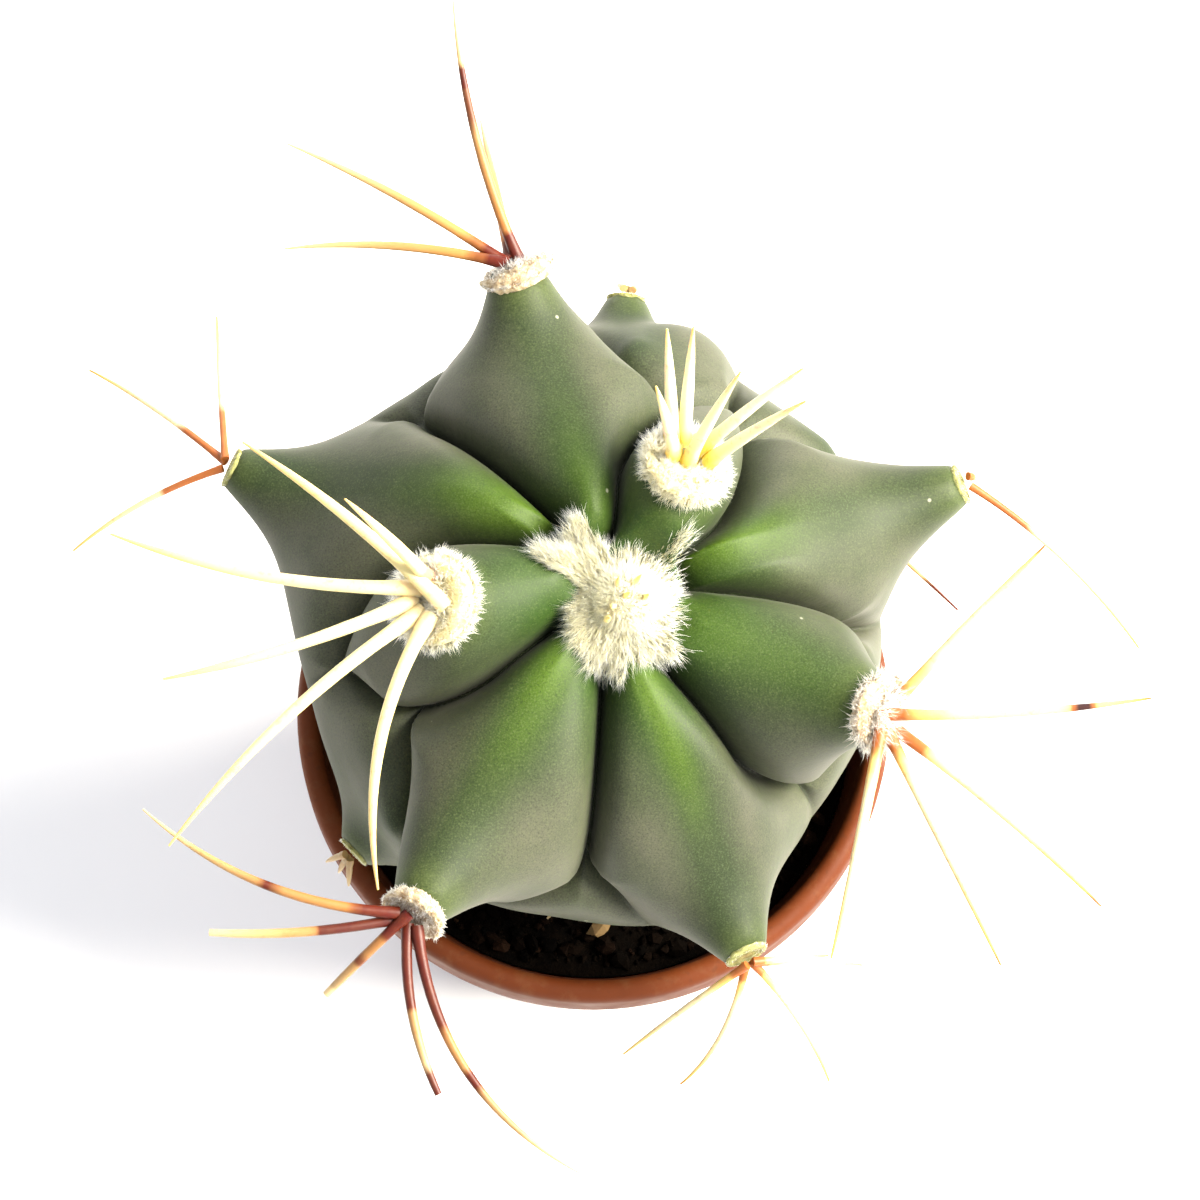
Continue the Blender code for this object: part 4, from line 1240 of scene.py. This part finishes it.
def make_felt():
    wools = (
        wool_material("felt_young", (0.7, 0.6, 0.22), (0.84, 0.76, 0.34), 0.4),
        wool_material("felt_grown", (0.46, 0.34, 0.19), (0.68, 0.57, 0.37), 0.45),
        wool_material("felt_old", (0.3, 0.27, 0.1), (0.45, 0.42, 0.19), 0.3),
    )
    sunlit = wool_material("felt_sunlit", (0.36, 0.22, 0.11), (0.52, 0.38, 0.22), 0.5)
    cores = (
        felt_core_material("felt_mat_young", (0.76, 0.66, 0.34), (0.88, 0.8, 0.46), (0.66, 0.5, 0.22)),
        felt_core_material("felt_mat_grown", (0.3, 0.2, 0.11), (0.6, 0.49, 0.32), (0.24, 0.1, 0.04)),
        felt_core_material("felt_mat_old", (0.14, 0.14, 0.05), (0.3, 0.3, 0.11), (0.2, 0.1, 0.035)),
    )
    for index, (tip, width) in enumerate(zip(areole_points(), areole_widths())):
        node = f"areole_wool_{index + 1:02d}"
        dress(make_felt_core(index, tip, width), cores[age(index)], "wool", node)
        wool = sunlit if index == SUNLIT_AREOLE else wools[age(index)]
        dress(make_felt_hairs(index, tip, width), wool, "wool")


# Spines


def spine_direction(azimuth, elevation):
    turn = math.radians(azimuth)
    rise = math.radians(elevation)
    return Vector((math.cos(rise) * math.cos(turn), math.cos(rise) * math.sin(turn), math.sin(rise)))


def spine_root(index, width, lean, uphill, aside):
    """Where a spine starts, high enough to lean over the felt, in the areole's own frame."""
    height = felt_top(index, width, math.atan2(lean.y, lean.x)) + GAP + SPINE_SEAT * SPINE_GIRTH * width
    return Vector((uphill * MM, aside * MM, height))


def spine_girth(radius, tip_radius, share, shaft):
    """A spine's radius, swollen at its root, at a share of its length."""
    swollen = shaft + (1 - shaft) * math.exp(-share / SPINE_SWELL)
    return tip_radius + (radius * swollen - tip_radius) * (1 - share**SPINE_TAPER)


def spine_rings(root, target, radius, bow, tip_radius, tone, wobble=0.0, shaft=SPINE_SHAFT):
    """The rings of points of one spine, and how far along each is."""
    along = target - root
    side = Vector((-along.y, along.x, 0)).normalized()
    arch = side * bow * MM - side.cross(along) * SPINE_ARCH
    into = SPINE_SINK * radius / along.length
    rings = []
    shares = []
    for ring in range(SPINE_RINGS + 1):
        share = -into + (1 + into) * (ring / SPINE_RINGS) ** SPINE_CROWDING
        bend = arch * 4 * share * (1 - share)
        middle = root + along * share + bend
        forward = (along + arch * 4 * (1 - 2 * share)).normalized()
        across = forward.cross(Vector((0, 0, 1))).normalized()
        over = across.cross(forward)
        girth = spine_girth(radius, tip_radius, max(share, 0), shaft)
        girth *= 1 + wobble * noise.noise(middle * 700 + Vector((tone * 9, 0, 0)))
        points = []
        for side_number in range(SPINE_SIDES):
            angle = 2 * math.pi * side_number / SPINE_SIDES
            aside = across * girth * math.cos(angle)
            points.append(middle + aside + over * girth * SPINE_OVAL * math.sin(angle))
        rings.append(points)
        shares.append(max(share, 0))
    return rings, shares, tone


def darkness(share, bands):
    """How dark the bands make a place on a spine: 1 is their colour, 2 is scorched."""
    found = 0.0
    for start, end, depth in bands:
        inside = smooth_step(start - BAND_EDGE, start + BAND_EDGE, share)
        found = max(found, depth * inside * (1 - smooth_step(end - BAND_EDGE, end + BAND_EDGE, share)))
    return found


def joined_tubes(name, tubes):
    """One mesh of closed tubes, with what their colours follow: place along, own tone and bands."""
    work = bmesh.new()
    alongs = []
    tones = []
    darks = []
    for (rings, shares, tone), bands in tubes:
        layers = []
        for points, share in zip(rings, shares):
            layers.append([work.verts.new(point) for point in points])
            alongs += [share] * len(points)
            tones += [tone] * len(points)
            darks += [darkness(share, bands)] * len(points)
        skinned(work, layers)
        work.faces.new(layers[0][::-1])
        work.faces.new(layers[-1])
    mesh = smooth_mesh(work, name)
    set_attributes(mesh, along=alongs, tone=tones, band=darks)
    mesh.set_sharp_from_angle(angle=math.radians(50))
    return mesh


def spine_slot(index):
    if index in PALE_AREOLES:
        return "pale_spine"
    return "amber_spine" if index in AMBER_AREOLES else "red_spine"


def make_spines():
    materials = spine_materials()
    draw = random.Random(SPINE_SEED)
    for index, (tip, width) in enumerate(zip(areole_points(), areole_widths())):
        to_world = areole_frame(tip)
        felt = to_world @ Vector((0, 0, FELT_LIFT * width))
        tubes = []
        for number, (azimuth, elevation, length, bow, uphill, aside) in enumerate(SPINES[index]):
            along = spine_direction(azimuth, elevation)
            lean = to_world.to_3x3().transposed() @ along
            root = to_world @ spine_root(index, width, lean, uphill, aside)
            blunt = (index, number) in BLUNT_SPINES
            tip_radius = BLUNT_TIP_RADIUS if blunt else SPINE_TIP_RADIUS
            target = felt + along * length * MM
            radius = SPINE_GIRTH * width
            shaft = YOUNG_SHAFT if age(index) == 0 else SPINE_SHAFT
            rings = spine_rings(root, target, radius, bow, tip_radius, draw.random(), SPINE_WOBBLE, shaft)
            tubes.append((rings, BANDS.get((index, number), OTHER_BANDS.get(index, COMMON_BANDS))))
        slot = spine_slot(index)
        name = f"spines_fine_{index + 1:02d}"
        mesh = joined_tubes(name, tubes)
        kind = "golden" if index == YOUNGEST else "tan" if index in TAN_AREOLES else slot
        material = materials[kind]
        dress(new_object(name, mesh), material, slot, f"spines_{index + 1:02d}")


# Setting


def make_floor():
    bpy.ops.mesh.primitive_plane_add(size=6, location=(0, 0, 0))
    floor = bpy.context.object
    floor.name = "floor"
    shade = Shader("white_paper", (0.86, 0.865, 0.88))
    shade.coat(shade.spots(30, 3, 0.3, 0.7), (0.88, 0.885, 0.9))
    floor.data.materials.append(shade.finish(0.9, 0.1))


def area_light(name, place, size, power, colour):
    light = bpy.data.lights.new(name, "AREA")
    light.shape = "DISK"
    light.size = size
    light.energy = power
    light.color = colour
    lamp = bpy.data.objects.new(name, light)
    bpy.context.scene.collection.objects.link(lamp)
    lamp.location = place
    aim = Vector((0, 0, LIT_HEIGHT)) - Vector(place)
    lamp.rotation_euler = aim.to_track_quat("-Z", "Y").to_euler()


def make_light():
    world = bpy.data.worlds.new("studio")
    bpy.context.scene.world = world
    world.use_nodes = True
    back = world.node_tree.nodes["Background"]
    back.inputs["Color"].default_value = SKY_COLOUR
    back.inputs["Strength"].default_value = SKY_STRENGTH
    for lamp in LAMPS:
        area_light(*lamp)


def make_camera():
    data = bpy.data.cameras.new("camera")
    data.lens = CAMERA_LENS
    data.sensor_width = SENSOR
    data.clip_end = 20
    camera = bpy.data.objects.new("camera", data)
    bpy.context.scene.collection.objects.link(camera)
    camera.location = CAMERA_PLACE
    camera.rotation_euler = (CAMERA_TILT, 0, 0)
    bpy.context.scene.camera = camera
    bpy.context.scene.view_settings.view_transform = "Standard"
    bpy.context.scene.view_settings.look = "None"


noise.seed_set(CLUMP_SEED)
make_camera()
make_light()
make_floor()
make_pot()
make_soil()
make_crumbs()
make_skin()
make_crown_wool()
make_felt()
make_spines()
